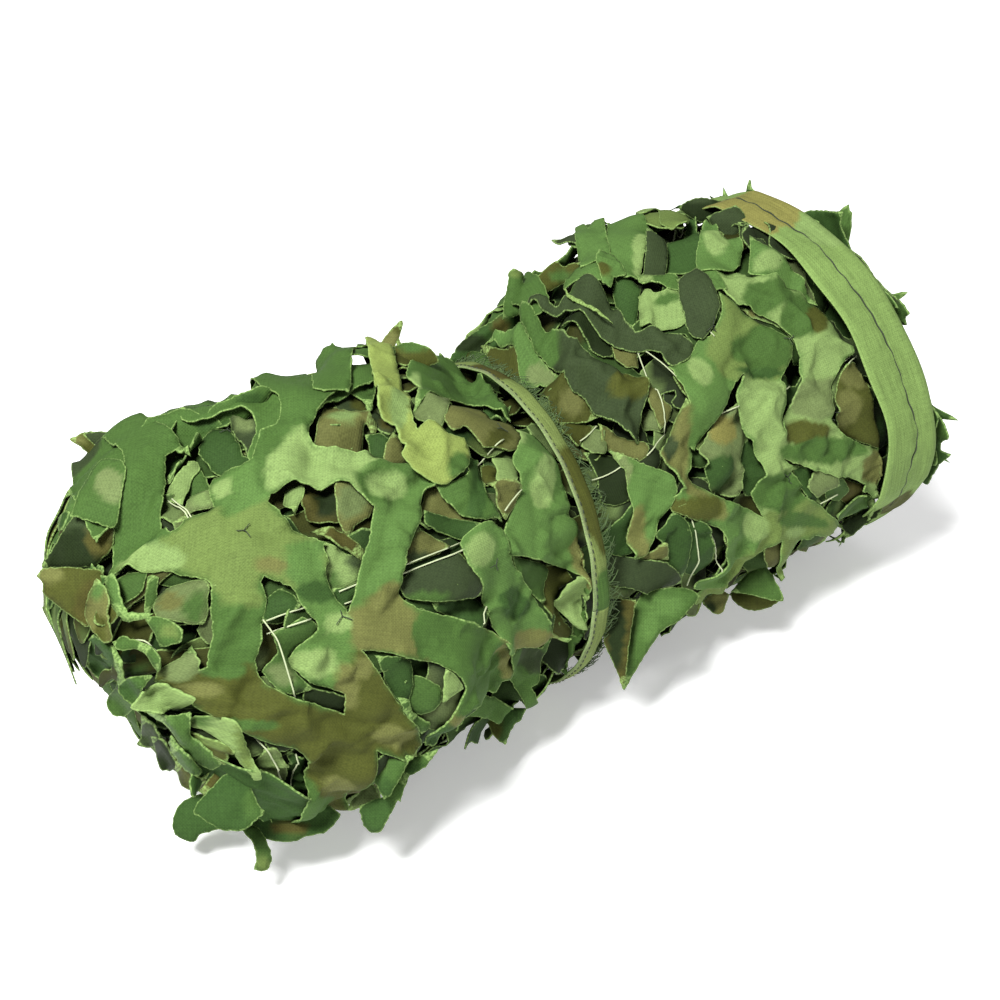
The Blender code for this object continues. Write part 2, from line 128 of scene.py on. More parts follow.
def ripple(station, bearing):
    """The roll's slow waves, which die out at the tie, at the binding and underneath."""
    height = 0.0
    for size, round_it, per_metre, phase in RIPPLES:
        height = height + size * np.sin(
            np.radians(bearing) * round_it + 2 * np.pi * per_metre * station * MM + phase
        )
    held = np.clip(np.abs(station - TIE_STATION) / HELD_OVER, 0, 1)
    held = held * np.clip((BINDING_STATION - BINDING_WIDTH / 2 - station) / RIM_HELD_OVER, 0, 1)
    held = held * np.clip(2 + 2 * np.sin(np.radians(bearing)), 0, 1)
    return height * held


def place(station, bearing, out=0.0):
    """The point in mm of a place on the roll."""
    station, bearing = np.asarray(station, float), np.asarray(bearing, float)
    deep, tall, across, up = [smooth(station, SECTIONS[:, 0], SECTIONS[:, i]) for i in range(1, 5)]
    angle = np.radians(bearing)
    out = out + ripple(station, bearing)
    normal_y, normal_z = -np.cos(angle) / deep, np.sin(angle) / tall
    length = np.hypot(normal_y, normal_z)
    return np.stack(
        [
            station + lean(station, bearing),
            across - deep * np.cos(angle) + out * normal_y / length,
            up + tall * np.sin(angle) + out * normal_z / length,
        ],
        -1,
    )


def over_ends(station, bearing, out):
    """As place, but what reaches past an end of the roll is folded over it, towards the middle."""
    past = np.maximum(OPEN_END - station, 0) - np.maximum(station - BOUND_END, 0)
    held = np.clip(station, OPEN_END, BOUND_END)
    at = place(held, bearing, out)
    deeper = place(held, bearing, out - FOLD_PROBE)
    inward = (deeper - at) / FOLD_PROBE
    reach = np.abs(past)
    turned = 1 - np.exp(-reach / FOLD_OVER)
    at = at + inward * (reach - FOLD_SAVING * turned)[:, None]
    at[:, 0] -= np.sign(past) * turned
    return at


def tie_station(bearing):
    """The station of the tie's middle, which swings along the roll."""
    return TIE_STATION - TIE_SWING * np.cos(np.radians(bearing - TIE_SWING_BEARING))


def unrolled(station, bearing):
    """A place on the roll as flat x and y."""
    return np.array([station, np.radians(bearing) * TURN_WIDTH], float)


def rolled(flat, out):
    """The points in mm of flat x and y."""
    return place(flat[:, 0], np.degrees(flat[:, 1] / TURN_WIDTH), out)


def above_floor(points, room=FLOOR_ROOM):
    """The points, none of them lower than the room over the floor."""
    points[:, 2] = np.maximum(points[:, 2], room)
    return points


# ---- places seen in the photograph

AZIMUTH, ELEVATION = np.radians(-37.5), np.radians(33)
AWAY = np.array(
    (np.sin(AZIMUTH) * np.cos(ELEVATION), -np.cos(AZIMUTH) * np.cos(ELEVATION), np.sin(ELEVATION))
)
AIM = np.array((0.0, 0.0, 95.0))
DISTANCE = 900.0
EYE = AIM + AWAY * DISTANCE
SENSOR = 36.0
LENS = 61.2
PHOTO_SIZE = 1000
PIXELS = PHOTO_SIZE * LENS / SENSOR
SIGHT_RIGHT = np.array((np.cos(AZIMUTH), np.sin(AZIMUTH), 0.0))
SIGHT_UP = np.cross(AWAY, SIGHT_RIGHT)

# the part of the roll that the camera sees, as from, to and step
SEEN_STATIONS = (-238, 230, 4.0)
SEEN_BEARINGS = (-57, 136, 3.0)
SEEN_OUT = 4.0
# how a place is searched for from there
SEARCH_STEPS = 12
SEARCH_PROBE = 0.5
SEARCH_DAMPING = 0.15
SEARCH_STRIDE = 6
SEARCH_STATIONS = (-246, 232)
SEARCH_BEARINGS = (-56, 134)
RIM_STEP = 10


def seen(points):
    """Photo pixels of points in mm."""
    offset = points - EYE
    depth = -(offset @ AWAY)
    x = PHOTO_SIZE / 2 + PIXELS * (offset @ SIGHT_RIGHT) / depth
    y = PHOTO_SIZE / 2 - PIXELS * (offset @ SIGHT_UP) / depth
    return np.stack([x, y], -1)


def facing_table():
    """Places on the side that the camera sees, with their pixels."""
    s, b = np.meshgrid(np.arange(*SEEN_STATIONS), np.arange(*SEEN_BEARINGS), indexing="ij")
    s, b = s.ravel(), b.ravel()
    return np.stack([s, b], -1), seen(place(s, b, SEEN_OUT))


FACING, FACING_SEEN = facing_table()


def on_roll(pixels, out):
    """Station and bearing of photo pixels, on the roll at the height out."""
    pixels = np.asarray(pixels, float)
    nearest = ((pixels[:, None] - FACING_SEEN) ** 2).sum(-1).argmin(axis=1)
    at = FACING[nearest].copy()
    for _ in range(SEARCH_STEPS):
        here = seen(place(at[:, 0], at[:, 1], out))
        by_station = seen(place(at[:, 0] + SEARCH_PROBE, at[:, 1], out)) - here
        by_bearing = seen(place(at[:, 0], at[:, 1] + SEARCH_PROBE, out)) - here
        slope = np.stack([by_station, by_bearing], -1) / SEARCH_PROBE
        miss = pixels - here
        square = np.einsum("nji,njk->nik", slope, slope) + SEARCH_DAMPING * np.eye(2)
        step = np.linalg.solve(square, np.einsum("nji,nj->ni", slope, miss)[..., None])[..., 0]
        at += np.clip(step, -SEARCH_STRIDE, SEARCH_STRIDE)
        at[:, 0] = np.clip(at[:, 0], *SEARCH_STATIONS)
        at[:, 1] = np.clip(at[:, 1], *SEARCH_BEARINGS)
    return at


def flat_on_roll(pixels, out):
    """As on_roll, but as flat x and y."""
    at = on_roll(pixels, out)
    return np.stack([at[:, 0], np.radians(at[:, 1]) * TURN_WIDTH], -1)


def end_plane(station):
    """The plane through the rim at a station: x = first + second * y + third * z."""
    bearings = np.arange(0.0, 360, RIM_STEP)
    rim = place(np.full(len(bearings), float(station)), bearings)
    sides = np.column_stack([np.ones(len(bearings)), rim[:, 1:]])
    return np.linalg.lstsq(sides, rim[:, 0], rcond=None)[0]


OPEN_PLANE = end_plane(OPEN_END)
RIM_PLANE = end_plane(FAR_END)


def on_end(pixels, out, plane=OPEN_PLANE):
    """Y and z in mm of photo pixels on the face at an end of the roll."""
    pixels = np.asarray(pixels, float)
    rays = (
        -AWAY
        + (pixels[:, :1] - PHOTO_SIZE / 2) / PIXELS * SIGHT_RIGHT
        - (pixels[:, 1:] - PHOTO_SIZE / 2) / PIXELS * SIGHT_UP
    )
    reach = (plane[0] - out + plane[1:] @ EYE[1:] - EYE[0]) / (rays[:, 0] - rays[:, 1:] @ plane[1:])
    return (EYE + rays * reach[:, None])[:, 1:]


def rim_depth(pixels, out):
    """How far from the camera, along its axis, the roll's side or its open end's face lies."""
    station, bearing = on_roll(pixels, out).T
    side = (EYE - place(station, bearing, out)) @ AWAY
    across = on_end(pixels, out)
    face = np.column_stack([OPEN_PLANE[0] + across @ OPEN_PLANE[1:] - out, across])
    return np.maximum(side, (EYE - face) @ AWAY)


# ---- colours

DYE = np.array((0.374, 0.378, 0.294))
CAMO_TONES = {"pale": 0.2, "mid": 0.32, "olive": 0.17, "dark": 0.12, "lime": 0.09, "deep": 0.1}
CAMO_ROUNDS = 2
CAMO_WAVES = ((95, 1.0), (60, 0.8), (37, 0.5), (21, 0.2))
CAMO_FROM = 0.9
CAMO_EDGE = 0.12
PATCH_WAVES = ((34, 0.10), (19, 0.07), (11, 0.04))
PATCH_EDGE = 1.6
BLOT_EDGE = 1.4
BLOT_AXIS = 0.7


def srgb(text):
    """Linear red, green and blue of a colour in hexadecimal."""
    value = np.array([int(text[i : i + 2], 16) for i in (0, 2, 4)]) / 255
    return np.where(value <= 0.04045, value / 12.92, ((value + 0.055) / 1.055) ** 2.4)


# The near-black tone 2b3a1f is painted shade, put on the gaps, holes and folds that lie in shadow between the
# layers.
TONES = {
    name: srgb(text) * DYE
    for name, text in (
        ("pale", "9dbb7c"), ("sage", "879b6b"), ("lime", "7f9759"), ("soft", "698f51"),
        ("mid", "587b42"), ("deep", "466737"), ("yellow", "a4b86c"), ("straw", "a3a062"),
        ("khaki", "828654"), ("olive", "5c622f"), ("brown", "5e5c30"), ("dark", "45553a"),
        ("painted_shade", "2b3a1f"),
    )
}


def mixed(colour, tone, share):
    """The colour of each point, with a share of the tone in it."""
    share = np.clip(share, 0, 1)[:, None]
    return colour * (1 - share) + tone * share


def toned(tone, points):
    """The tone as the colour of every point."""
    return np.tile(TONES[tone], (len(points), 1))


def waves(points, random, sizes):
    """Soft unevenness: a few crossing waves, from a table of length and height."""
    height = np.zeros(len(points))
    for length, size in sizes:
        turn, phase = random.uniform(0, 2 * np.pi, 2)
        direction = np.array([np.cos(turn), np.sin(turn)])
        height += size * np.sin(2 * np.pi * (points @ direction) / length + phase)
    return height


def camo(points, random, base):
    """Blotches of other tones, in the flat cloth."""
    colour = toned(base, points)
    for _ in range(CAMO_ROUNDS):
        other = TONES[random.choice(list(CAMO_TONES), p=list(CAMO_TONES.values()))]
        colour = mixed(colour, other, (waves(points, random, CAMO_WAVES) - CAMO_FROM) / CAMO_EDGE)
    return colour


def patch_field(away, points, random):
    """1 in the middle of a patch and 0 at its wobbling edge."""
    return 1 + waves(points, random, PATCH_WAVES) - np.linalg.norm(away, axis=1)


def patched(colour, points, patches, random):
    """Patches at a place on the roll: station, bearing, half length, half height, tone."""
    for station, bearing, along, round_it, tone in patches:
        away = (points - unrolled(station, bearing)) / (along, round_it)
        field = patch_field(away, points, random)
        colour = mixed(colour, TONES[tone], field * min(along, round_it) / PATCH_EDGE + 0.5)
    return colour


def blotted(colour, points, patches, to_flat, random):
    """Patches at a place in the photograph: x, y, half width, half height, tone."""
    for x, y, wide, tall, tone in patches:
        middle, side, top = to_flat(((x, y), (x + wide * BLOT_AXIS, y), (x, y + tall * BLOT_AXIS)))
        axes = np.stack([side - middle, top - middle], -1) / BLOT_AXIS
        away = np.linalg.solve(axes, (points - middle).T).T
        field = patch_field(away, points, random)
        size = np.sqrt(abs(np.linalg.det(axes)))
        colour = mixed(colour, TONES[tone], field * size / BLOT_EDGE + 0.5)
    return colour


# ---- flat outlines

END_POINTS = 9
SIDE_POINTS = 9
POINTED_UNDER = 9
END_ROUNDING = 0.45
CORNER = np.radians(38)
CURVE_STEPS = 6
CURVE_PULL = 0.75
FEWEST_POINTS = 8
ROW_SHARE = 0.866
FIRST_ROW = 0.3
CHUNK = 2000


def tip_points(hub, tip, width):
    """The rounded or pointed end of an arm."""
    if width < POINTED_UNDER:
        return [tip]
    along = (tip - hub) / np.linalg.norm(tip - hub)
    across = np.array([-along[1], along[0]])
    middle = tip - along * width * END_ROUNDING
    return [
        middle + width * (END_ROUNDING * np.cos(turn) * along + 0.5 * np.sin(turn) * across)
        for turn in np.linspace(-np.pi / 2, np.pi / 2, END_POINTS)
    ]


def leaf_outline(hub, body, arms):
    """The cut outline of a leaf, counter-clockwise: arm ends joined by arcs that pass the hub at body."""
    if len(arms) == 1:
        reach = arms[0][0] - hub
        arms = [arms[0], (hub - reach * min(1, body / np.linalg.norm(reach)), 2 * body)]
    facing = [np.arctan2(tip[1] - hub[1], tip[0] - hub[0]) for tip, _ in arms]
    order = np.argsort(facing)
    ends = [tip_points(hub, *arms[i]) for i in order]
    outline = []
    for i, end in enumerate(ends):
        outline.extend(end)
        start = ends[(i + 1) % len(ends)][0]
        first, second = facing[order[i]], facing[order[(i + 1) % len(order)]]
        middle = first + ((second - first) % (2 * np.pi) or 2 * np.pi) / 2
        valley = hub + body * np.array([np.cos(middle), np.sin(middle)])
        pull = 2 * valley - (end[-1] + start) / 2
        for t in np.linspace(0, 1, SIDE_POINTS + 2)[1:-1]:
            outline.append((1 - t) ** 2 * end[-1] + 2 * t * (1 - t) * pull + t**2 * start)
    return np.array(outline)


def rounded(points):
    """A closed outline as a smooth curve, which keeps the corners of the points."""
    ahead = np.roll(points, -1, axis=0) - points
    behind = points - np.roll(points, 1, axis=0)
    turn = np.arctan2(ahead[:, 1], ahead[:, 0]) - np.arctan2(behind[:, 1], behind[:, 0])
    sharp = np.abs((turn + np.pi) % (2 * np.pi) - np.pi) > CORNER
    result = []
    for i in range(len(points)):
        j = (i + 1) % len(points)
        span = points[j] - points[i]
        long = np.linalg.norm(span)

        def slope(k):
            if sharp[k]:
                return span
            way = points[(k + 1) % len(points)] - points[k - 1]
            return way / max(np.linalg.norm(way), 1e-6) * long * CURVE_PULL

        first, last = slope(i), slope(j)
        for t in np.arange(CURVE_STEPS) / CURVE_STEPS:
            result.append(
                (2 * t**3 - 3 * t**2 + 1) * points[i]
                + (t**3 - 2 * t**2 + t) * first
                + (3 * t**2 - 2 * t**3) * points[j]
                + (t**3 - t**2) * last
            )
    return np.array(result)


def lengths_along(path):
    """How far along a path each of its points is."""
    return np.concatenate([[0], np.cumsum(np.linalg.norm(np.diff(path, axis=0), axis=1))])


def read_along(path, want):
    """Flat points at the wanted lengths along a path."""
    at = lengths_along(path)
    return np.stack([np.interp(want, at, path[:, k]) for k in (0, 1)], -1)


def respaced(outline, step):
    """The closed outline with points an even step apart."""
    closed = np.vstack([outline, outline[:1]])
    length = lengths_along(closed)[-1]
    count = max(FEWEST_POINTS, int(round(length / step)))
    return read_along(closed, np.linspace(0, length, count, endpoint=False))


def serrated(outline, random, size):
    """Cut edges are a little ragged."""
    along = np.roll(outline, -1, axis=0) - np.roll(outline, 1, axis=0)
    along /= np.maximum(np.linalg.norm(along, axis=1, keepdims=True), TINY)
    side = np.stack([along[:, 1], -along[:, 0]], -1)
    return outline + side * random.normal(0, size, len(outline))[:, None]


def inside(points, outline):
    """Which points are inside a closed outline."""
    x, y = points[:, 0][:, None], points[:, 1][:, None]
    ax, ay = outline[:, 0], outline[:, 1]
    bx, by = np.roll(ax, -1), np.roll(ay, -1)
    crosses = (ay > y) != (by > y)
    at = ax + (y - ay) * (bx - ax) / np.where(by == ay, TINY, by - ay)
    return ((x < at) & crosses).sum(axis=1) % 2 == 1


def inside_any(points, outlines):
    """Which points are inside at least one of the outlines."""
    within = np.zeros(len(points), bool)
    for outline in outlines:
        within |= inside(points, outline)
    return within


def cut_distance(points, ends):
    """Distance from points to the segments whose two ends are given."""
    a, span = ends[:, 0], ends[:, 1] - ends[:, 0]
    length = np.maximum((span**2).sum(-1), TINY)
    result = np.empty(len(points))
    for start in range(0, len(points), CHUNK):
        away = points[start : start + CHUNK, None] - a
        t = np.clip((away * span).sum(-1) / length, 0, 1)
        off = away - t[..., None] * span
        result[start : start + CHUNK] = np.sqrt((off**2).sum(-1).min(axis=1))
    return result


def edge_distance(points, outline):
    """Distance from points to a closed outline."""
    return cut_distance(points, np.stack([outline, np.roll(outline, -1, axis=0)], 1))


def extent(outlines):
    """The lowest and the highest x and y of outlines."""
    low, high = [o.min(axis=0) for o in outlines], [o.max(axis=0) for o in outlines]
    return np.min(low, axis=0), np.max(high, axis=0)


def even_grid(outlines, step):
    """Even points in rows, every second one set back by half a step, all over where the outlines are."""
    low, high = extent(outlines)
    grid = []
    for k, y in enumerate(np.arange(low[1] + step * FIRST_ROW, high[1], step * ROW_SHARE)):
        grid.extend((x, y) for x in np.arange(low[0] + step * 0.5 * (k % 2), high[0], step))
    return np.array(grid).reshape(-1, 2)


def triangles(points, loops, nearness):
    """The points and triangles of flat points, with the loops as edges."""
    made = geometry.delaunay_2d_cdt([tuple(p) for p in points], [], loops, 1, nearness)
    return np.array([tuple(p) for p in made[0]]), np.array([tuple(f) for f in made[2]])


def filled(outline, step):
    """Points and triangles of a flat leaf, with even points inside it."""
    grid = even_grid([outline], step)
    grid = grid[inside(grid, outline)]
    grid = grid[edge_distance(grid, outline) > step * 0.55]
    return triangles(np.concatenate([outline, grid]), [list(range(len(outline)))], 1e-4)


def joined(outlines, step):
    """Points, triangles and cut edges of several outlines made one sheet."""
    grid = even_grid(outlines, step)
    grid = grid[inside_any(grid, outlines)]
    for outline in outlines:
        grid = grid[edge_distance(grid, outline) > step * 0.5]
    starts = np.cumsum([0] + [len(outline) for outline in outlines])
    loops = [list(range(a, b)) for a, b in zip(starts, starts[1:])]
    points, faces = triangles(np.concatenate([*outlines, grid]), loops, 1e-3)
    faces = faces[inside_any(points[faces].mean(axis=1), outlines)]
    used = np.unique(faces)
    back = np.full(len(points), -1)
    back[used] = np.arange(len(used))
    points, faces = points[used], back[faces]
    edges = np.sort(np.concatenate([faces[:, [0, 1]], faces[:, [1, 2]], faces[:, [2, 0]]]), axis=1)
    edges, count = np.unique(edges, axis=0, return_counts=True)
    return points, faces, edges[count == 1]


# ---- folds in the cloth

PUCKER_RAYS = ((0.6, 5, 1.3), (0.5, 3, 0.0), (0.3, 8, 0.7))
PUCKER_HEIGHT = 1.5
PUCKER_REACH = 16
DIMPLE_DEPTH = 1.4
DIMPLE_REACH = 7
FACETS = ((37.0, 1.0), (21.0, 0.7))
FACET_JITTER = 0.85
FACET_BENDS = (23, 19)
FACET_BEND = 2.0
CURL_REACH = 4.5


def rumple(points, random, sizes):
    """Soft folds with crests: the wave length and height of each size, in mm."""
    total = np.zeros(len(points))
    for length, amount in sizes:
        shift = [waves(points, random, ((length * 1.3, 0.16 * length),)) for _ in (0, 1)]
        bent = points + np.stack(shift, -1)
        strength = 0.6 + 0.5 * waves(points, random, ((length * 2.1, 1.0),))
        total += amount * strength * (0.55 - np.abs(waves(bent, random, ((length, 1.0),))))
    return total


def creased(points, creases, to_flat):
    """Soft ridges and troughs along the given lines."""
    height = np.zeros(len(points))
    for x1, y1, x2, y2, size, width in creases:
        a, b = to_flat(((x1, y1), (x2, y2)))
        span = b - a
        along = (points - a) @ span / (span @ span)
        off = np.linalg.norm(points - a - np.clip(along, 0, 1)[:, None] * span, axis=1)
        fade = np.clip(1.25 - np.abs(along - 0.5) * 1.2, 0, 1)
        height += size * fade * np.exp(-((off / width) ** 2))
    return height


def puckered(points):
    """The folds that run out from each sewn knot, and the dimple at it."""
    total = np.zeros(len(points))
    for station, bearing, turn in STITCHES:
        away = points - unrolled(station, bearing)
        far = np.linalg.norm(away, axis=1)
        angle = np.arctan2(away[:, 1], away[:, 0]) - np.radians(turn)
        rays = sum(size * np.cos(count * angle + phase) for size, count, phase in PUCKER_RAYS)
        folds = PUCKER_HEIGHT * rays * np.minimum(far / DIMPLE_REACH, 1) * np.exp(-far / PUCKER_REACH)
        total += folds - DIMPLE_DEPTH * np.exp(-((far / DIMPLE_REACH) ** 2))
    return total


def facets(points):
    """Slack cloth's ridges, the same for every piece at one place."""
    total = np.zeros(len(points))
    for spacing, share in FACETS:
        shift = [
            waves(points, np.random.default_rng(int(spacing) + k), ((length, FACET_BEND),))
            for k, length in enumerate(FACET_BENDS)
        ]
        bent = points + np.stack(shift, -1)
        cell = np.floor(bent / spacing).astype(int)
        best = np.full((len(points), 2), 1e9)
        for corner in (cell + (dx, dy) for dx in (-1, 0, 1) for dy in (-1, 0, 1)):
            mixed_up = np.sin(corner @ np.array([[12.9898, 39.346], [78.233, 11.135]])) * 43758.5453
            middle = corner + 0.5 + FACET_JITTER * (mixed_up - np.floor(mixed_up) - 0.5)
            away = np.linalg.norm(bent - middle * spacing, axis=1)
            second = np.maximum(best[:, 0], away)
            best[:, 0] = np.minimum(best[:, 0], away)
            best[:, 1] = np.minimum(best[:, 1], second)
        total -= share * np.minimum(best[:, 1] - best[:, 0], 0.5 * spacing)
    return total


# ---- how the leaves lie on each other

CELL = 2.0
STATIONS_FROM = -262.0
CELLS_ALONG = 256
CELLS_ROUND = 340
CELL_ROUND = ROUND / CELLS_ROUND
WINDOW_MARGIN = 14
CORE_OUT = -21.0
CLOTH_ROOM = 0.7
# cloth spans this many cells, settles over this many, and is eased over this many
SPAN_CELLS = 2
SETTLE_CELLS = 5
EASE_CELLS = 4
SLACK = 5.0
FIRST_LEVEL = -6.0
LEVEL_RISE = 1.9
NOTHING = -1e3
heights = np.full((CELLS_ALONG, CELLS_ROUND), CORE_OUT)


def window(low, high):
    """The rows and columns of the height grid round what lies between two flat corners."""
    low, high = low - WINDOW_MARGIN, high + WINDOW_MARGIN
    i = np.arange(int((low[0] - STATIONS_FROM) / CELL), int((high[0] - STATIONS_FROM) / CELL) + 2)
    j = np.arange(int(np.floor(low[1] / CELL_ROUND)), int(high[1] / CELL_ROUND) + 2)
    return np.clip(i, 0, CELLS_ALONG - 1), j


def cells_of(i, j):
    """The flat points of a window's cells."""
    grid = np.meshgrid(i * CELL + STATIONS_FROM, j * CELL_ROUND, indexing="ij")
    return np.stack(grid, -1).reshape(-1, 2)


def widened(field, reach):
    """Each cell as high as the highest one within reach."""
    for axis in (0, 1):
        field = np.max([np.roll(field, step, axis) for step in range(-reach, reach + 1)], axis=0)
    return field


def blurred(field, reach):
    """The field with its steps softened over the reach."""
    weights = np.exp(-0.5 * (np.arange(-reach, reach + 1) / (reach * 0.5)) ** 2)
    weights /= weights.sum()
    for axis in (0, 1):
        field = sum(w * np.roll(field, k - reach, axis) for k, w in enumerate(weights))
    return field


def sampled(field, i, j, points):
    """Values of a window's field at flat points."""
    u = np.clip((points[:, 0] - STATIONS_FROM) / CELL - i[0], 0, len(i) - 1.001)
    v = np.clip(points[:, 1] / CELL_ROUND - j[0], 0, len(j) - 1.001)
    a, b = u.astype(int), v.astype(int)
    s, t = u - a, v - b
    return (
        field[a, b] * (1 - s) * (1 - t)
        + field[a + 1, b] * s * (1 - t)
        + field[a, b + 1] * (1 - s) * t
        + field[a + 1, b + 1] * s * t
    )


def draped(i, j, mask, level):
    """How low cloth with this mask could lie, and how high it does: above that, and about the level."""
    mask = mask.reshape(len(i), len(j))
    under = heights[np.ix_(i, j % CELLS_ROUND)]
    wide = widened(np.where(mask, under, NOTHING), SPAN_CELLS)
    there = (wide > 0.9 * NOTHING).astype(float)
    base = blurred(np.where(there > 0, wide, 0), SETTLE_CELLS)
    base = base / np.maximum(blurred(there, SETTLE_CELLS), 1e-3)
    lack = np.where(mask, np.maximum(0, under - base), 0)
    base = base + blurred(widened(lack, SPAN_CELLS), EASE_CELLS)
    top = 0.5 * (base + level + np.sqrt((base - level) ** 2 + SLACK**2))
    return base, np.maximum(top, base)


def raise_heights(i, j, where, out):
    """What is laid later lies on the cloth at these cells of the window."""
    rows, columns = np.unravel_index(where, (len(i), len(j)))
    np.maximum.at(heights, (i[rows], j[columns] % CELLS_ROUND), out + CLOTH_ROOM)


def height_at(flat):
    """How far out the cloth lies at flat points."""
    i = np.clip(((flat[:, 0] - STATIONS_FROM) / CELL).round().astype(int), 0, CELLS_ALONG - 1)
    j = (flat[:, 1] / CELL_ROUND).round().astype(int) % CELLS_ROUND
    return heights[i, j]


def kept_clear(stations, bearings, row_station):
    """Stations that are moved so that cloth stays on its side of the tie and off the far rim."""
    waist = tie_station(bearings)
    room = TIE_WIDTH / 2 + TIE_ROOM
    rim = BINDING_STATION + BINDING_WIDTH / 2 + BAND_ROOM
    if row_station < TIE_STATION:
        return np.minimum(stations, waist - room)
    if row_station < BINDING_STATION:
        return np.clip(stations, waist + room, rim - BINDING_WIDTH - 2 * BAND_ROOM + BINDING_OVERLAP)
    return np.maximum(stations, rim)


# ---- sheets of cloth

Leaf = namedtuple("Leaf", "station bearing body level tone arms patches", defaults=((),))

# mm: the cloth's thickness, how ragged its cuts are, and how far it stays off what is under it
CLOTH = 0.8
EDGE_RAGGED = 0.2
LEAF_RAGGED = 0.22
NOT_UNDER = 0.5
SEEDS = 1 << 30

# a scattered or edge leaf: length and height of its waves, folds and curls in mm
LEAF_WAVES = ((88, 1.5), (47, 0.9), (27, 0.5), (15, 0.16))
LEAF_RUMPLES = ((45, 2.4), (29, 1.9), (17, 0.9))
LEAF_CURLS = ((60, 1.0), (33, 0.7))
CURL_SIZES = (0.6, 2.8)
CUP_SIZES = (-2.2, 2.6)
# a tip lifts beyond LIFT_START of its reach, and what is lifted further than FREE_LIFT carries nothing
LIFT_START = 0.25
LIFT_POWER = 1.6
FREE_LIFT = 4
DEEP_LEVEL = -3

# the same for what is placed from the photograph
NET_WAVES = ((88, 1.2), (47, 1.0), (27, 0.6), (15, 0.2))
NET_RUMPLES = ((64, 3.0), (41, 2.6), (23, 1.2), (13, 0.4))
NET_CURLS = ((60, 1.0), (33, 0.8), (19, 0.3))
NET_CURL_SIZES = (1.0, 2.4)
NET_FACETS = 0.3
SEAM_WAVES = ((23, 0.8), (12, 0.5))

FLAP_CURLS = ((33, 1.0), (21, 0.6))
FLAP_CURL_REACH = 4
FLAP_SAG = 0.006
RIM_SAG = 14


def new_piece(name, points, faces, material):
    """A smooth mesh of points in mm on the roll."""
    mesh = bpy.data.meshes.new(name)
    mesh.from_pydata([tuple(p) for p in (points - (*MIDDLE, 0)) * MM], [], faces)
    mesh.polygons.foreach_set("use_smooth", np.ones(len(mesh.polygons), bool))
    made = bpy.data.objects.new(name, mesh)
    bpy.context.scene.collection.objects.link(made)
    made.data.materials.append(material)
    return made


class Sheets:
    """Points, faces and colours of many leaves that become one piece; every colour is darkened by the sheets'
    share, which is painted shade.
    """

    def __init__(self, painted_shade=1.0):
        self.points, self.faces, self.tint, self.edge, self.flat = [], [], [], [], []
        self.count, self.area = 0, 0.0
        self.painted_shade = painted_shade

    def add(self, points, faces, tint, edge, flat):
        """Tint is each point's colour, edge its distance from the cut and flat its place in the cloth."""
        faces = np.asarray(faces)
        self.points.append(points)
        self.faces.append(faces + self.count)
        # darkening the colour by the share paints shade on leaves that lie under others
        self.tint.append(tint * self.painted_shade)
        self.edge.append(edge)
        self.flat.append(flat)
        self.count += len(points)
        a, b, c = (flat[faces[:, k]] for k in range(3))
        u, v = b - a, c - a
        self.area += float(np.abs(u[:, 0] * v[:, 1] - u[:, 1] * v[:, 0]).sum() / 2)

    def finish(self, name, material, thickness=CLOTH):
        faces = [tuple(f) for f in np.concatenate(self.faces).tolist()]
        made = new_piece(name, np.concatenate(self.points), faces, material)
        tint, flat = np.concatenate(self.tint), np.concatenate(self.flat)
        for key, kind, field, values in (
            ("tint", "FLOAT_COLOR", "color", np.hstack([tint, np.ones((len(tint), 1))])),
            ("edge", "FLOAT", "value", np.concatenate(self.edge)),
            ("flat", "FLOAT_VECTOR", "vector", np.hstack([flat, np.zeros((len(flat), 1))])),
        ):
            attribute = made.data.attributes.new(key, kind, "POINT")
            attribute.data.foreach_set(field, values.astype(np.float32).ravel())
        if thickness:
            solid = made.modifiers.new("cloth", "SOLIDIFY")
            solid.thickness = thickness * MM
            solid.offset = -1
        return made


def turned_flat(points, random):
    """The weave runs another way in each piece."""
    turn = random.uniform(0, np.pi)
    return points @ np.array([[np.cos(turn), -np.sin(turn)], [np.sin(turn), np.cos(turn)]])


def drawn_in(station, bearing):
    """How much closer leaves lie, in mm: by the open end's far side, past the waist and under the binding."""
    turned = np.mod(bearing + 180, 360) - 180
    by_end = 7 * np.clip((-195 - station) / 25, 0, 1) * np.interp(turned, (95, 115, 180), (0, 1, 1))
    past_waist = np.interp(station, (-10, 5, 90, 120), (0, 1, 1, 0))
    past_waist = 5 * past_waist * np.interp(turned, (90, 105, 160, 175), (0, 1, 1, 0))
    under_band = 6 * np.interp(station, (162, 172, 214, 220), (0, 1, 1, 0))
    under_band = under_band * np.interp(turned, (-75, -60, 78, 88, 135, 155), (0, 0.35, 0.35, 1, 1, 0))
    return by_end + past_waist + under_band


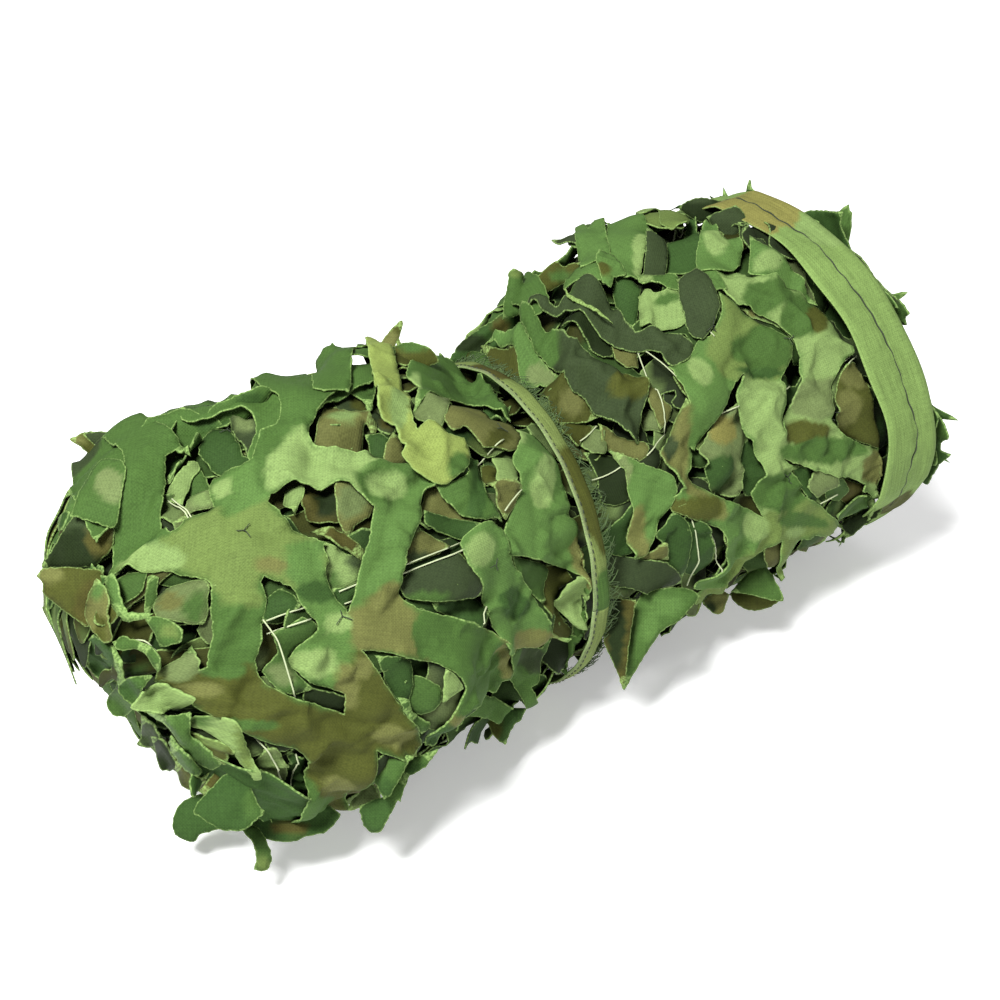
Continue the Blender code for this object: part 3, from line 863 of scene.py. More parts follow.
def add_leaf(sheets, leaf, random, edge_step, inner_step, relief=1.0, in_scatter=False):
    """A cut leaf, laid on what is under it. One in a scatter has free blotches and folds over the ends."""
    hub = unrolled(leaf.station, leaf.bearing)
    tips = [unrolled(*arm[:2]) for arm in leaf.arms]
    outline = leaf_outline(hub, leaf.body, [(tip, arm[2]) for tip, arm in zip(tips, leaf.arms)])
    outline = serrated(respaced(outline, edge_step), random, LEAF_RAGGED)
    points, faces = filled(outline, inner_step)
    if not len(faces):
        return
    i, j = window(*extent([outline]))
    cells = cells_of(i, j)
    mask = inside(cells, outline)
    base, top = draped(i, j, mask, FIRST_LEVEL + LEVEL_RISE * leaf.level)
    seeds = random.integers(0, SEEDS, 3)
    curl_random = np.random.default_rng(seeds[0])
    curl_size, cup = curl_random.uniform(*CURL_SIZES), curl_random.uniform(*CUP_SIZES)

    def lying(p):
        """How far out flat points of the leaf are, how far lifted, and how far from its edge."""
        away = p - hub
        distance = np.linalg.norm(away, axis=1)
        folds = np.random.default_rng(seeds[1])
        bump = relief * waves(p, folds, LEAF_WAVES)
        bump = bump + relief * rumple(p, folds, LEAF_RUMPLES)
        edge = edge_distance(p, outline)
        curl = waves(p, np.random.default_rng(seeds[2]), LEAF_CURLS)
        bump = bump + relief * curl_size * (0.6 + curl) * np.exp(-edge / CURL_REACH)
        lift = np.zeros(len(p))
        for tip, arm in zip(tips, leaf.arms):
            reach = np.linalg.norm(tip - hub)
            axis = (tip - hub) / reach
            along = away @ axis
            aside = away @ np.array([-axis[1], axis[0]])
            facing = np.clip(along / np.maximum(distance, 1e-6), 0, 1)
            share = np.clip((along / reach - LIFT_START) / (1 - LIFT_START), 0, 1.1) * facing**2
            lift = lift + arm[3] * share**LIFT_POWER
            half = max(arm[2], 10) / 2
            bump = bump + relief * cup * share * np.clip(np.abs(aside) / half, 0, 1.3) ** 2
        low = sampled(base, i, j, p) + NOT_UNDER
        high = sampled(top, i, j, p)
        return np.maximum(high + bump, low) + lift, lift, edge

    out, _, edge = lying(points)
    stations, bearings = points[:, 0], np.degrees(points[:, 1] / TURN_WIDTH)
    if in_scatter:
        out = out - drawn_in(stations, bearings)
    if leaf.level > DEEP_LEVEL:
        stations = kept_clear(stations, bearings, leaf.station)
    made = above_floor((over_ends if in_scatter else place)(stations, bearings, out))
    colour = camo(points, random, leaf.tone) if in_scatter else toned(leaf.tone, points)
    colour = patched(colour, points, leaf.patches, random)
    colour = colour * random.uniform(0.93, 1.07)
    sheets.add(made, faces, colour, edge, turned_flat(points, random))
    out, lift, _ = lying(cells[mask])
    keep = lift < FREE_LIFT
    raise_heights(i, j, np.flatnonzero(mask)[keep], out[keep])


# spacing and reach in mm; steps are the spacing of a leaf's points on its edge and inside it
Scatter = namedtuple(
    "Scatter", "spacing level reach bearings steps tones relief lifts", defaults=(1.0, (0, 0, 2, 4))
)
SCATTER_STATIONS = (-222, 200)
SCATTER_LIMITS = (-256, 238)
SCATTER_SHIFT = 0.4
ARM_TURN = 0.2
ARM_COUNTS = (2, 5)
ARM_WIDTHS = (9, 30)
BODIES = (9, 17)
# leaves lie lower by this much past these stations and bearings, and by the waist
SLIMMER = 3.2
SLIM_END = -170
SLIM_WAIST = 48
SLIM_BEARINGS = (165, 282)


def scattered(sheets, random, scatter):
    """Leaves with two to four arms, each a little off an even grid."""
    spacing = scatter.spacing
    low, high = (np.radians(bearing) * TURN_WIDTH for bearing in scatter.bearings)
    for s in np.arange(*SCATTER_STATIONS, spacing):
        for y in np.arange(low, high, spacing):
            station = s + random.uniform(-SCATTER_SHIFT, SCATTER_SHIFT) * spacing
            bearing = np.degrees((y + random.uniform(-SCATTER_SHIFT, SCATTER_SHIFT) * spacing) / TURN_WIDTH)
            turn = random.uniform(0, 2 * np.pi)
            count = random.integers(*ARM_COUNTS)
            arms = []
            for k in range(count):
                angle = turn + (k + random.uniform(-ARM_TURN, ARM_TURN)) * 2 * np.pi / count
                long = random.uniform(*scatter.reach)
                tip = float(np.clip(station + long * np.cos(angle), *SCATTER_LIMITS))
                round_it = bearing + np.degrees(long * np.sin(angle) / TURN_WIDTH)
                arms.append((tip, round_it, random.uniform(*ARM_WIDTHS), float(random.choice(scatter.lifts))))
            body, tone = random.uniform(*BODIES), random.choice(scatter.tones)
            slim = station < SLIM_END or bearing > SLIM_BEARINGS[1]
            slim = slim or (abs(station - TIE_STATION) < SLIM_WAIST and bearing < SLIM_BEARINGS[0])
            level = scatter.level - (SLIMMER if slim and scatter.level > 0 else 0)
            leaf = Leaf(station, bearing, body, level, tone, tuple(arms))
            add_leaf(sheets, leaf, random, *scatter.steps, scatter.relief, True)


def add_net(sheets, parts, random, edge_step=1.8, inner_step=2.2, relief=1.0, curl=1.0):
    """Parts that are one cloth, laid on what is under them."""
    level = FIRST_LEVEL + LEVEL_RISE * parts[0].level
    out_at = level

    def to_flat(pixels):
        return flat_on_roll(pixels, out_at)

    # once to see how high the cloth lies there, and again as seen at that height
    for _ in (0, 1):
        curves = [respaced(rounded(to_flat(part.outline)), edge_step) for part in parts]
        i, j = window(*extent(curves))
        cells = cells_of(i, j)
        mask = inside_any(cells, curves)
        base, top = draped(i, j, mask, level)
        out_at = float(np.median(top.ravel()[mask])) if mask.any() else level
    outlines = [serrated(curve, random, EDGE_RAGGED) for curve in curves]
    points, faces, cut = joined(outlines, inner_step)
    ends = points[cut]
    seeds = random.integers(0, SEEDS, 3)
    curl_size = curl * np.random.default_rng(seeds[0]).uniform(*NET_CURL_SIZES)

    def lying(p):
        """How far out flat points of the cloth are, and how far from its cut edge."""
        folds = np.random.default_rng(seeds[1])
        bump = relief * waves(p, folds, NET_WAVES)
        bump = bump + relief * (rumple(p, folds, NET_RUMPLES) + NET_FACETS * facets(p))
        bump = bump + relief * puckered(p)
        for part in parts:
            bump = bump + creased(p, part.creases, to_flat)
        edge = cut_distance(p, ends)
        turned = waves(p, np.random.default_rng(seeds[2]), NET_CURLS)
        bump = bump + relief * curl_size * (0.5 + turned) * np.exp(-edge / CURL_REACH)
        low = sampled(base, i, j, p) + NOT_UNDER
        high = sampled(top, i, j, p)
        return np.maximum(high + bump, low), edge

    out, edge = lying(points)
    stations, bearings = points[:, 0], np.degrees(points[:, 1] / TURN_WIDTH)
    stations = kept_clear(stations, bearings, np.median(stations))
    made = above_floor(place(stations, bearings, out))
    colour = toned(parts[0].tone, points)
    for part, outline in zip(parts, outlines):
        away = edge_distance(points, outline) * np.where(inside(points, outline), 1, -1)
        colour = mixed(colour, TONES[part.tone], (away + waves(points, random, SEAM_WAVES)) / 2.0 + 0.3)
    for part in parts:
        colour = blotted(colour, points, part.patches, to_flat, random)
    sheets.add(made, faces, colour, edge, turned_flat(points, random))
    raise_heights(i, j, np.flatnonzero(mask), lying(cells[mask])[0])


def flat_piece(part, random, to_flat, edge_step, inner_step, sizes, curls):
    """The points, faces, distance from the edge and relief of a piece that lies on no other."""
    outline = serrated(respaced(rounded(to_flat(part.outline)), edge_step), random, EDGE_RAGGED)
    points, faces = filled(outline, inner_step)
    edge = edge_distance(points, outline)
    bump = waves(points, random, sizes) + creased(points, part.creases, to_flat)
    curl = random.uniform(*curls)
    bump += curl * waves(points, random, FLAP_CURLS) * np.exp(-edge / FLAP_CURL_REACH)
    return points, faces, edge, bump


def add_end(sheets, part, random):
    """A piece that stands in the plane of the far end's rim."""
    out_at = 2.0 * part.level

    def to_flat(pixels):
        return on_end(pixels, out_at, RIM_PLANE)

    points, faces, edge, bump = flat_piece(
        part, random, to_flat, 1.8, 2.6, ((40, 1.0), (23, 0.6), (13, 0.25)), (0.5, 2.0)
    )
    made = above_floor(np.column_stack([RIM_PLANE[0] + points @ RIM_PLANE[1:] - out_at - bump, points]))
    colour = blotted(toned(part.tone, points), points, part.patches, to_flat, random)
    a, b, c = points[faces[0]]
    if (b[0] - a[0]) * (c[1] - a[1]) - (b[1] - a[1]) * (c[0] - a[0]) > 0:
        faces = faces[:, ::-1]
    sheets.add(made, faces, colour, edge, points)


def add_flap(sheets, flap, random, over_rim=False):
    """A leaf end that stands off the roll, broadside to the camera, or one that lies over the rim."""
    x, y, out = flap.root
    station, bearing = on_roll(((x, y),), out)[0]
    reach = (EYE - place(station, bearing, out)) @ AWAY

    def to_flat(pixels):
        return (np.asarray(pixels, float) - PHOTO_SIZE / 2) * (1, -1) * reach / PIXELS

    points, faces, edge, bump = flat_piece(
        flap, random, to_flat, 1.6, 2.6, ((40, 1.0), (23, 0.7), (13, 0.3)), (0.4, 1.6)
    )
    depth = np.full(len(points), reach)
    if over_rim:
        depth = rim_depth(PHOTO_SIZE / 2 + points * (1, -1) * PIXELS / reach, out)
        depth = np.minimum(depth, np.median(depth) + RIM_SAG)
    else:
        held = to_flat(((x, y),))[0]
        bump -= FLAP_SAG * ((points - held) ** 2).sum(axis=1) ** 0.9
    depth = depth - bump
    rays = points / reach
    rays = np.outer(rays[:, 0], SIGHT_RIGHT) + np.outer(rays[:, 1], SIGHT_UP) - AWAY
    made = above_floor(EYE + depth[:, None] * rays)
    colour = blotted(toned(flap.tone, points), points, flap.patches, to_flat, random)
    sheets.add(made, faces, colour, edge, points)


# the turns of the roll on an end: station, plane, how much of the end they fill and how many they are
TURNS = {-1: (-228.0, OPEN_PLANE, 0.88, 7), 1: (219.0, RIM_PLANE, 0.97, 9)}
TURN_POINTS = 520
TURN_ROWS = (0, 3, 6, 9, 11, 12.5)
TURN_OUT = -2.0
TURN_CORE = 0.05
TURN_SPREAD = 0.8
TURN_DEPTH = 14.0


def wound_end(side, random):
    """The turns of the roll, seen on an end: a wavy ribbon on edge, wound from the core."""
    sheets = Sheets()
    station, plane, reach, turns = TURNS[side]
    share = np.linspace(TURN_CORE, reach, TURN_POINTS) ** TURN_SPREAD
    bearings = np.linspace(0, 360 * turns, TURN_POINTS)
    ring = place(np.full(TURN_POINTS, station), bearings, TURN_OUT)
    middle = ring.mean(axis=0)
    length = lengths_along(ring * share[:, None])
    flat_along = np.stack([length, length * 0], -1)
    wobble = waves(flat_along, random, ((60, 0.05), (29, 0.035), (14, 0.02)))
    lean_out = waves(flat_along, random, ((50, 1.5), (23, 1.2), (11, 0.6)))
    dish = -DISH * (1 - share) * 0.6
    points, flat = [], []
    for k, row in enumerate(TURN_ROWS):
        grow = share * (1 + wobble * (1 + 0.5 * k / 5))
        around = middle + (ring - middle) * np.clip(grow, 0.02, 0.99)[:, None]
        face = plane[0] + around[:, 1:] @ plane[1:]
        around[:, 0] = face + side * (dish - TURN_DEPTH + row + lean_out * (row / TURN_ROWS[-1]) ** 2)
        points.append(around)
        flat.append(np.stack([length, np.full(TURN_POINTS, float(row))], -1))
    points, flat = above_floor(np.concatenate(points), CORE_FLOOR_ROOM), np.concatenate(flat)
    faces = []
    for k in range(len(TURN_ROWS) - 1):
        for a in range(k * TURN_POINTS, (k + 1) * TURN_POINTS - 1):
            faces.append((a, a + 1, a + TURN_POINTS + 1))
            faces.append((a, a + TURN_POINTS + 1, a + TURN_POINTS))
    sheets.add(points, faces, camo(flat, random, "mid"), TURN_ROWS[-1] - flat[:, 1], flat)
    return sheets


CORE_STATIONS = (-228, 221.1, 6.0)
CORE_BEARINGS = (0, 360, 3.0)
CORE_EDGE = 9.0
# how much the core's colour is darkened, as painted shade under the leaves
CORE_PAINTED_SHADE = 0.6
CORE_FLOOR_ROOM = 1.5


def core():
    """The wound layers under the leaves: a lumpy roll with dished ends, darkened as painted shade."""
    sheets = Sheets()
    random = np.random.default_rng(3)
    stations, bearings = np.arange(*CORE_STATIONS), np.arange(*CORE_BEARINGS)
    s, b = (grid.ravel() for grid in np.meshgrid(stations, bearings, indexing="ij"))
    flat = np.stack([s, np.radians(b) * TURN_WIDTH], -1)
    lumps = waves(flat, random, ((70, 1.5), (40, 1.0), (23, 0.6)))
    points = above_floor(place(s, b, CORE_OUT - 2 + lumps), CORE_FLOOR_ROOM)
    n, m = len(stations), len(bearings)
    faces = []
    for i in range(n - 1):
        for j in range(m):
            k = (j + 1) % m
            faces.append((i * m + j, i * m + k, (i + 1) * m + k))
            faces.append((i * m + j, (i + 1) * m + k, (i + 1) * m + j))
    ends = []
    for i, side in ((0, -1), (n - 1, 1)):
        ends.append(points[i * m : (i + 1) * m].mean(axis=0) - (side * DISH, 0, 0))
        for j in range(m):
            faces.append((i * m + j, i * m + (j + 1) % m, n * m + len(ends) - 1)[::side])
    points = np.vstack([points, ends])
    flat = np.vstack([flat, [[CORE_STATIONS[0], 0], [FAR_END, 0]]])
    # the core's colour is darkened, as painted shade deep under the leaves
    tint = camo(flat, random, "deep") * CORE_PAINTED_SHADE
    sheets.add(points, faces, tint, np.full(len(points), CORE_EDGE), flat)
    return sheets.finish("net_layers", cloth, 0)


def strip(name, material, stations, bearings, out_of, tint_of):
    """A band laid round the roll: stations across it, bearings along it."""
    sheets = Sheets()
    s, b = (grid.ravel() for grid in np.meshgrid(stations, bearings, indexing="ij"))
    at = out_of(s, b)
    n, m = len(stations), len(bearings)
    i, j = np.meshgrid(np.arange(n - 1), np.arange(m - 1), indexing="ij")
    a = (i * m + j).ravel()
    faces = np.vstack([np.stack([a, a + 1, a + m + 1], -1), np.stack([a, a + m + 1, a + m], -1)])
    flat = unrolled(at[0], at[1]).T
    edge = np.minimum(s - stations[0], stations[-1] - s)
    sheets.add(place(*at), faces[:, ::-1], tint_of(flat, s, b), edge, flat)
    return sheets, sheets.finish(name, material, BAND_CLOTH)


# ---- cords and threads

CORD = 0.38
CORD_OUT = -4.0
CORD_STEP = 2.5
CORD_LIFT = 0.3
KNOT_THREAD = 0.24
KNOT_ARMS = 3
KNOT_REACH = (2.5, 5.5)
UNEVEN = (0.3, 0.2, 0.9)


def tube(path, radius, sides):
    """Points and faces of a thin round tube along a path in mm."""
    along = np.gradient(path, axis=0)
    along /= np.maximum(np.linalg.norm(along, axis=1, keepdims=True), TINY)
    first = np.cross(along, UNEVEN)
    first /= np.linalg.norm(first, axis=1, keepdims=True)
    second = np.cross(along, first)
    turns = np.linspace(0, 2 * np.pi, sides, endpoint=False)[None, :, None]
    rings = path[:, None] + radius * (np.cos(turns) * first[:, None] + np.sin(turns) * second[:, None])
    last = (len(path) - 1) * sides
    faces = []
    for k in range(0, last, sides):
        for q in range(sides):
            r = (q + 1) % sides
            faces.append((k + q, k + r, k + sides + r, k + sides + q))
    faces.append(tuple(range(sides))[::-1])
    faces.append(tuple(range(last, last + sides)))
    return rings.reshape(-1, 3), faces


class Tubes:
    """Many thin tubes that become one piece."""

    def __init__(self):
        self.points, self.faces, self.count = [], [], 0

    def add(self, path, radius, sides=5):
        points, faces = tube(path, radius, sides)
        self.points.append(points)
        self.faces.extend(tuple(v + self.count for v in face) for face in faces)
        self.count += len(points)

    def finish(self, name, material):
        return new_piece(name, np.concatenate(self.points), self.faces, material)


def cords():
    """The net's own cords, which show taut across the openings."""
    tubes = Tubes()
    for route in STRINGS:
        knots = flat_on_roll(np.array(route, float), CORD_OUT)
        length = lengths_along(knots)[-1]
        flat = read_along(knots, np.linspace(0, length, max(4, int(length / CORD_STEP))))
        under = height_at(flat) + CORD
        out = np.maximum(np.linspace(under[0], under[-1], len(flat)), under) + CORD_LIFT
        out = np.convolve(np.pad(out, 2, mode="edge"), np.ones(5) / 5, "valid")
        tubes.add(rolled(flat, np.maximum(out, under)), CORD)
    return tubes.finish("net_cords", string_look)


def stitch_marks():
    """Sewn knots that hold the cloth to the cords."""
    tubes = Tubes()
    random = np.random.default_rng(21)
    for station, bearing, turn in STITCHES:
        for k in range(KNOT_ARMS):
            angle = np.radians(turn + 360 / KNOT_ARMS * k) + random.uniform(-0.3, 0.3)
            steps = np.linspace(0, random.uniform(*KNOT_REACH), 6)[:, None]
            flat = unrolled(station, bearing) + steps * (np.cos(angle), np.sin(angle))
            tubes.add(rolled(flat, height_at(flat) + CORD_LIFT), KNOT_THREAD, 4)
    return tubes.finish("sewn_knots", thread_look)


# ---- materials

EDGE_COLOUR = "7f9a58"
THREAD_PITCH = 1.5
GRAIN_SCALE = 0.9
DRIFT_SCALE = 0.05
DRAWN_THREADS = ((1.5, 0.10, 1), (0.10, 1.5, 1))
STREAK_STRETCH = (1.1, 0.035, 1)
BUMP_HEIGHT = 0.12
FLECK_SCALE = 300


class Look:
    """A material, and its nodes as they are added."""

    def __init__(self, name, roughness):
        self.material = bpy.data.materials.new(name)
        self.material.use_nodes = True
        self.tree = self.material.node_tree
        self.surface = self.tree.nodes["Principled BSDF"]
        self.set(self.surface, {"Roughness": roughness})

    def set(self, node, sockets):
        """Give the node's sockets a value each, or the output to link there."""
        for key, value in sockets.items():
            if isinstance(value, bpy.types.NodeSocket):
                self.tree.links.new(value, node.inputs[key])
            else:
                node.inputs[key].default_value = value

    def add(self, kind, sockets, **settings):
        """The outputs of a new node."""
        node = self.tree.nodes.new("ShaderNode" + kind)
        for key, value in settings.items():
            setattr(node, key, value)
        self.set(node, sockets)
        return node.outputs

    def math(self, operation, *values):
        return self.add("Math", dict(enumerate(values)), operation=operation)[0]

    def noise(self, where, scale, detail):
        return self.add("TexNoise", {"Vector": where, "Scale": scale, "Detail": detail})["Fac"]

    def threads(self, flat, stretch, detail, strength):
        """Stretched noise about zero, for threads that run one way."""
        where = self.add("VectorMath", {0: flat, 1: stretch}, operation="MULTIPLY")[0]
        centred = self.math("SUBTRACT", self.noise(where, 1.0, detail), 0.5)
        return self.math("MULTIPLY", centred, strength)

    def ramp(self, value, low, high, at_low, at_high):
        sockets = {"Value": value, "From Min": low, "From Max": high, "To Min": at_low, "To Max": at_high}
        return self.add("MapRange", sockets)["Result"]


def cloth_material(name, streaks=0.0):
    """Woven cloth, tinted by its points, with pale cut edges."""
    look = Look(name, 0.78)
    look.set(look.surface, {"Specular IOR Level": 0.08})
    tint, edge, flat = (look.add("Attribute", {}, attribute_name=key) for key in ("tint", "edge", "flat"))
    flat = flat["Vector"]
    split = look.add("SeparateXYZ", {0: flat})
    rate = 2 * np.pi / THREAD_PITCH
    warp, weft = (look.math("SINE", look.math("MULTIPLY", split[k], rate)) for k in (0, 1))
    weave = look.math("MULTIPLY", warp, weft)
    grain = look.noise(flat, GRAIN_SCALE, 3)
    drift = look.noise(flat, DRIFT_SCALE, 3)
    total = look.math("MULTIPLY_ADD", weave, 0.10, look.math("MULTIPLY_ADD", grain, 0.56, 0.59))
    total = look.math("ADD", total, look.math("MULTIPLY_ADD", drift, 0.3, 0.0))
    for stretch in DRAWN_THREADS:
        total = look.math("ADD", total, look.threads(flat, stretch, 2, 0.5))
    if streaks:
        total = look.math("ADD", total, look.threads(flat, STREAK_STRETCH, 4, streaks))
    coloured = look.add("VectorMath", {0: tint["Color"], "Scale": total}, operation="SCALE")[0]
    near = look.ramp(edge["Fac"], 0.1, 0.6, 1.0, 0.0)
    fuzz = look.ramp(grain, 0.38, 0.62, 0.15, 0.75)
    pale = (*srgb(EDGE_COLOUR), 1)
    share = look.math("MULTIPLY", near, fuzz)
    blend = look.add("Mix", {"Factor": share, "A": coloured, "B": pale}, data_type="RGBA")["Result"]
    relief = look.math("MULTIPLY_ADD", weave, 0.5, grain)
    bump = look.add("Bump", {"Strength": 0.7, "Distance": BUMP_HEIGHT * MM, "Height": relief})["Normal"]
    look.set(look.surface, {"Base Color": blend, "Normal": bump})
    return look.material


def plain_material(name, colour, roughness=0.8):
    """One colour with fine flecks, for threads."""
    look = Look(name, roughness)
    flecks = look.add("TexNoise", {"Scale": FLECK_SCALE, "Vector": look.add("TexCoord", {})["Object"]})["Fac"]
    ramp = look.add("ValToRGB", {"Fac": flecks})["Color"]
    low, high = ramp.node.color_ramp.elements
    low.color = (*(srgb(colour) * 0.7), 1)
    high.color = (*np.minimum(srgb(colour) * 1.25, 1), 1)
    look.set(look.surface, {"Base Color": ramp})
    return look.material


def floor_material():
    """The pale studio floor."""
    look = Look("floor", 0.9)
    white = (1, 1, 1, 1)
    grey = (0.9, 0.9, 0.9, 1)
    look.set(look.surface, {"Base Color": grey, "Emission Color": white, "Emission Strength": 0.3})
    return look.material


cloth = cloth_material("net_cloth")
binding_cloth = cloth_material("binding_cloth", streaks=0.7)
tie_cloth = cloth_material("tie_cloth", streaks=0.9)
string_look = plain_material("net_string", "97a07c", 0.7)
thread_look = plain_material("sewing_thread", "1c2613")
fray_look = plain_material("frayed_thread", "3a4f25")


# ---- leaves at a place on the roll

# station, bearing, body, level and tone, then arms as station, bearing, width and lift, then patches
LEAVES = (
    Leaf(-190, 108, 20, 3, "mid",
        ((-217, 86, 8, 2), (-160, 118, 34, 0), (-192, 132, 7, 5)), ((-196, 128, 18, 14, "dark"),)),
    Leaf(-120, 96, 21, 3, "mid",
        ((-153, 74, 20, 0), (-160, 108, 20, 2), (-64, 96, 26, 0), (-104, 118, 26, 0))),
    Leaf(-70, 108, 17, 5, "mid", ((-86, 103, 12, 0), (-62, 124, 34, 6)), ((-56, 124, 12, 16, "olive"),)),
    Leaf(-50, 112, 8, 4, "olive", ((-56, 104, 12, 0), (-25, 127, 4, 21))),
    Leaf(-38, 108, 11, 4, "olive", ((-56, 100, 12, 0), (-16, 122, 18, 5))),
    Leaf(-150, 124, 13, 3, "mid", ((-132, 120, 20, 0), (-178, 136, 10, 3))),
    Leaf(-214, -22, 22, 3, "deep", ((-200, -36, 20, 0), (-222, 0, 20, 2), (-238, -26, 16, 6))),
    Leaf(100, 106, 19, 4, "mid",
        ((112, 90, 22, 0), (98, 121, 24, 2), (133, 111, 14, 3)), ((112, 92, 12, 18, "dark"),)),
    Leaf(145, 108, 15, 4, "lime", ((138, 95, 16, 0), (151, 122, 24, 4))),
    Leaf(40, 108, 9, 4, "mid", ((34, 97, 12, 0), (48, 121, 20, 3))),
    Leaf(86, 110, 5, 5, "dark", ((94, 102, 8, 0), (82, 119, 3, 3))),
)
RIM_TIPS = (
    Leaf(219, 72, 13, 4, "mid", ((232, 74, 20, 16),)),
    Leaf(219, 47, 10, 4, "mid", ((228, 45, 8, 14),)),
    Leaf(221, 6, 9, 4, "deep", ((231, 4, 5, 15),)),
    Leaf(221, -8, 6, 4, "mid", ((230, -12, 4, 12),)),
    Leaf(219, 118, 9, 4, "mid", ((228, 122, 5, 12),)),
    Leaf(219, 168, 12, 4, "mid", ((230, 172, 16, 10),)),
)

# ---- pieces placed from the photograph

# Pieces and patches in the near-black tone 2b3a1f are painted shade, where gaps and holes lie in shadow.
# An outline's points are photo pixels. A patch is x, y, half width, half height, tone.
# A crease is from x, y to x, y, then its height and width in mm.
Piece = namedtuple("Piece", "name tone level outline patches creases", defaults=((), ()))
# A flap's root is where it is held: x and y in pixels, and how far out in mm.
Flap = namedtuple("Flap", "name tone root outline patches creases", defaults=((), ()))

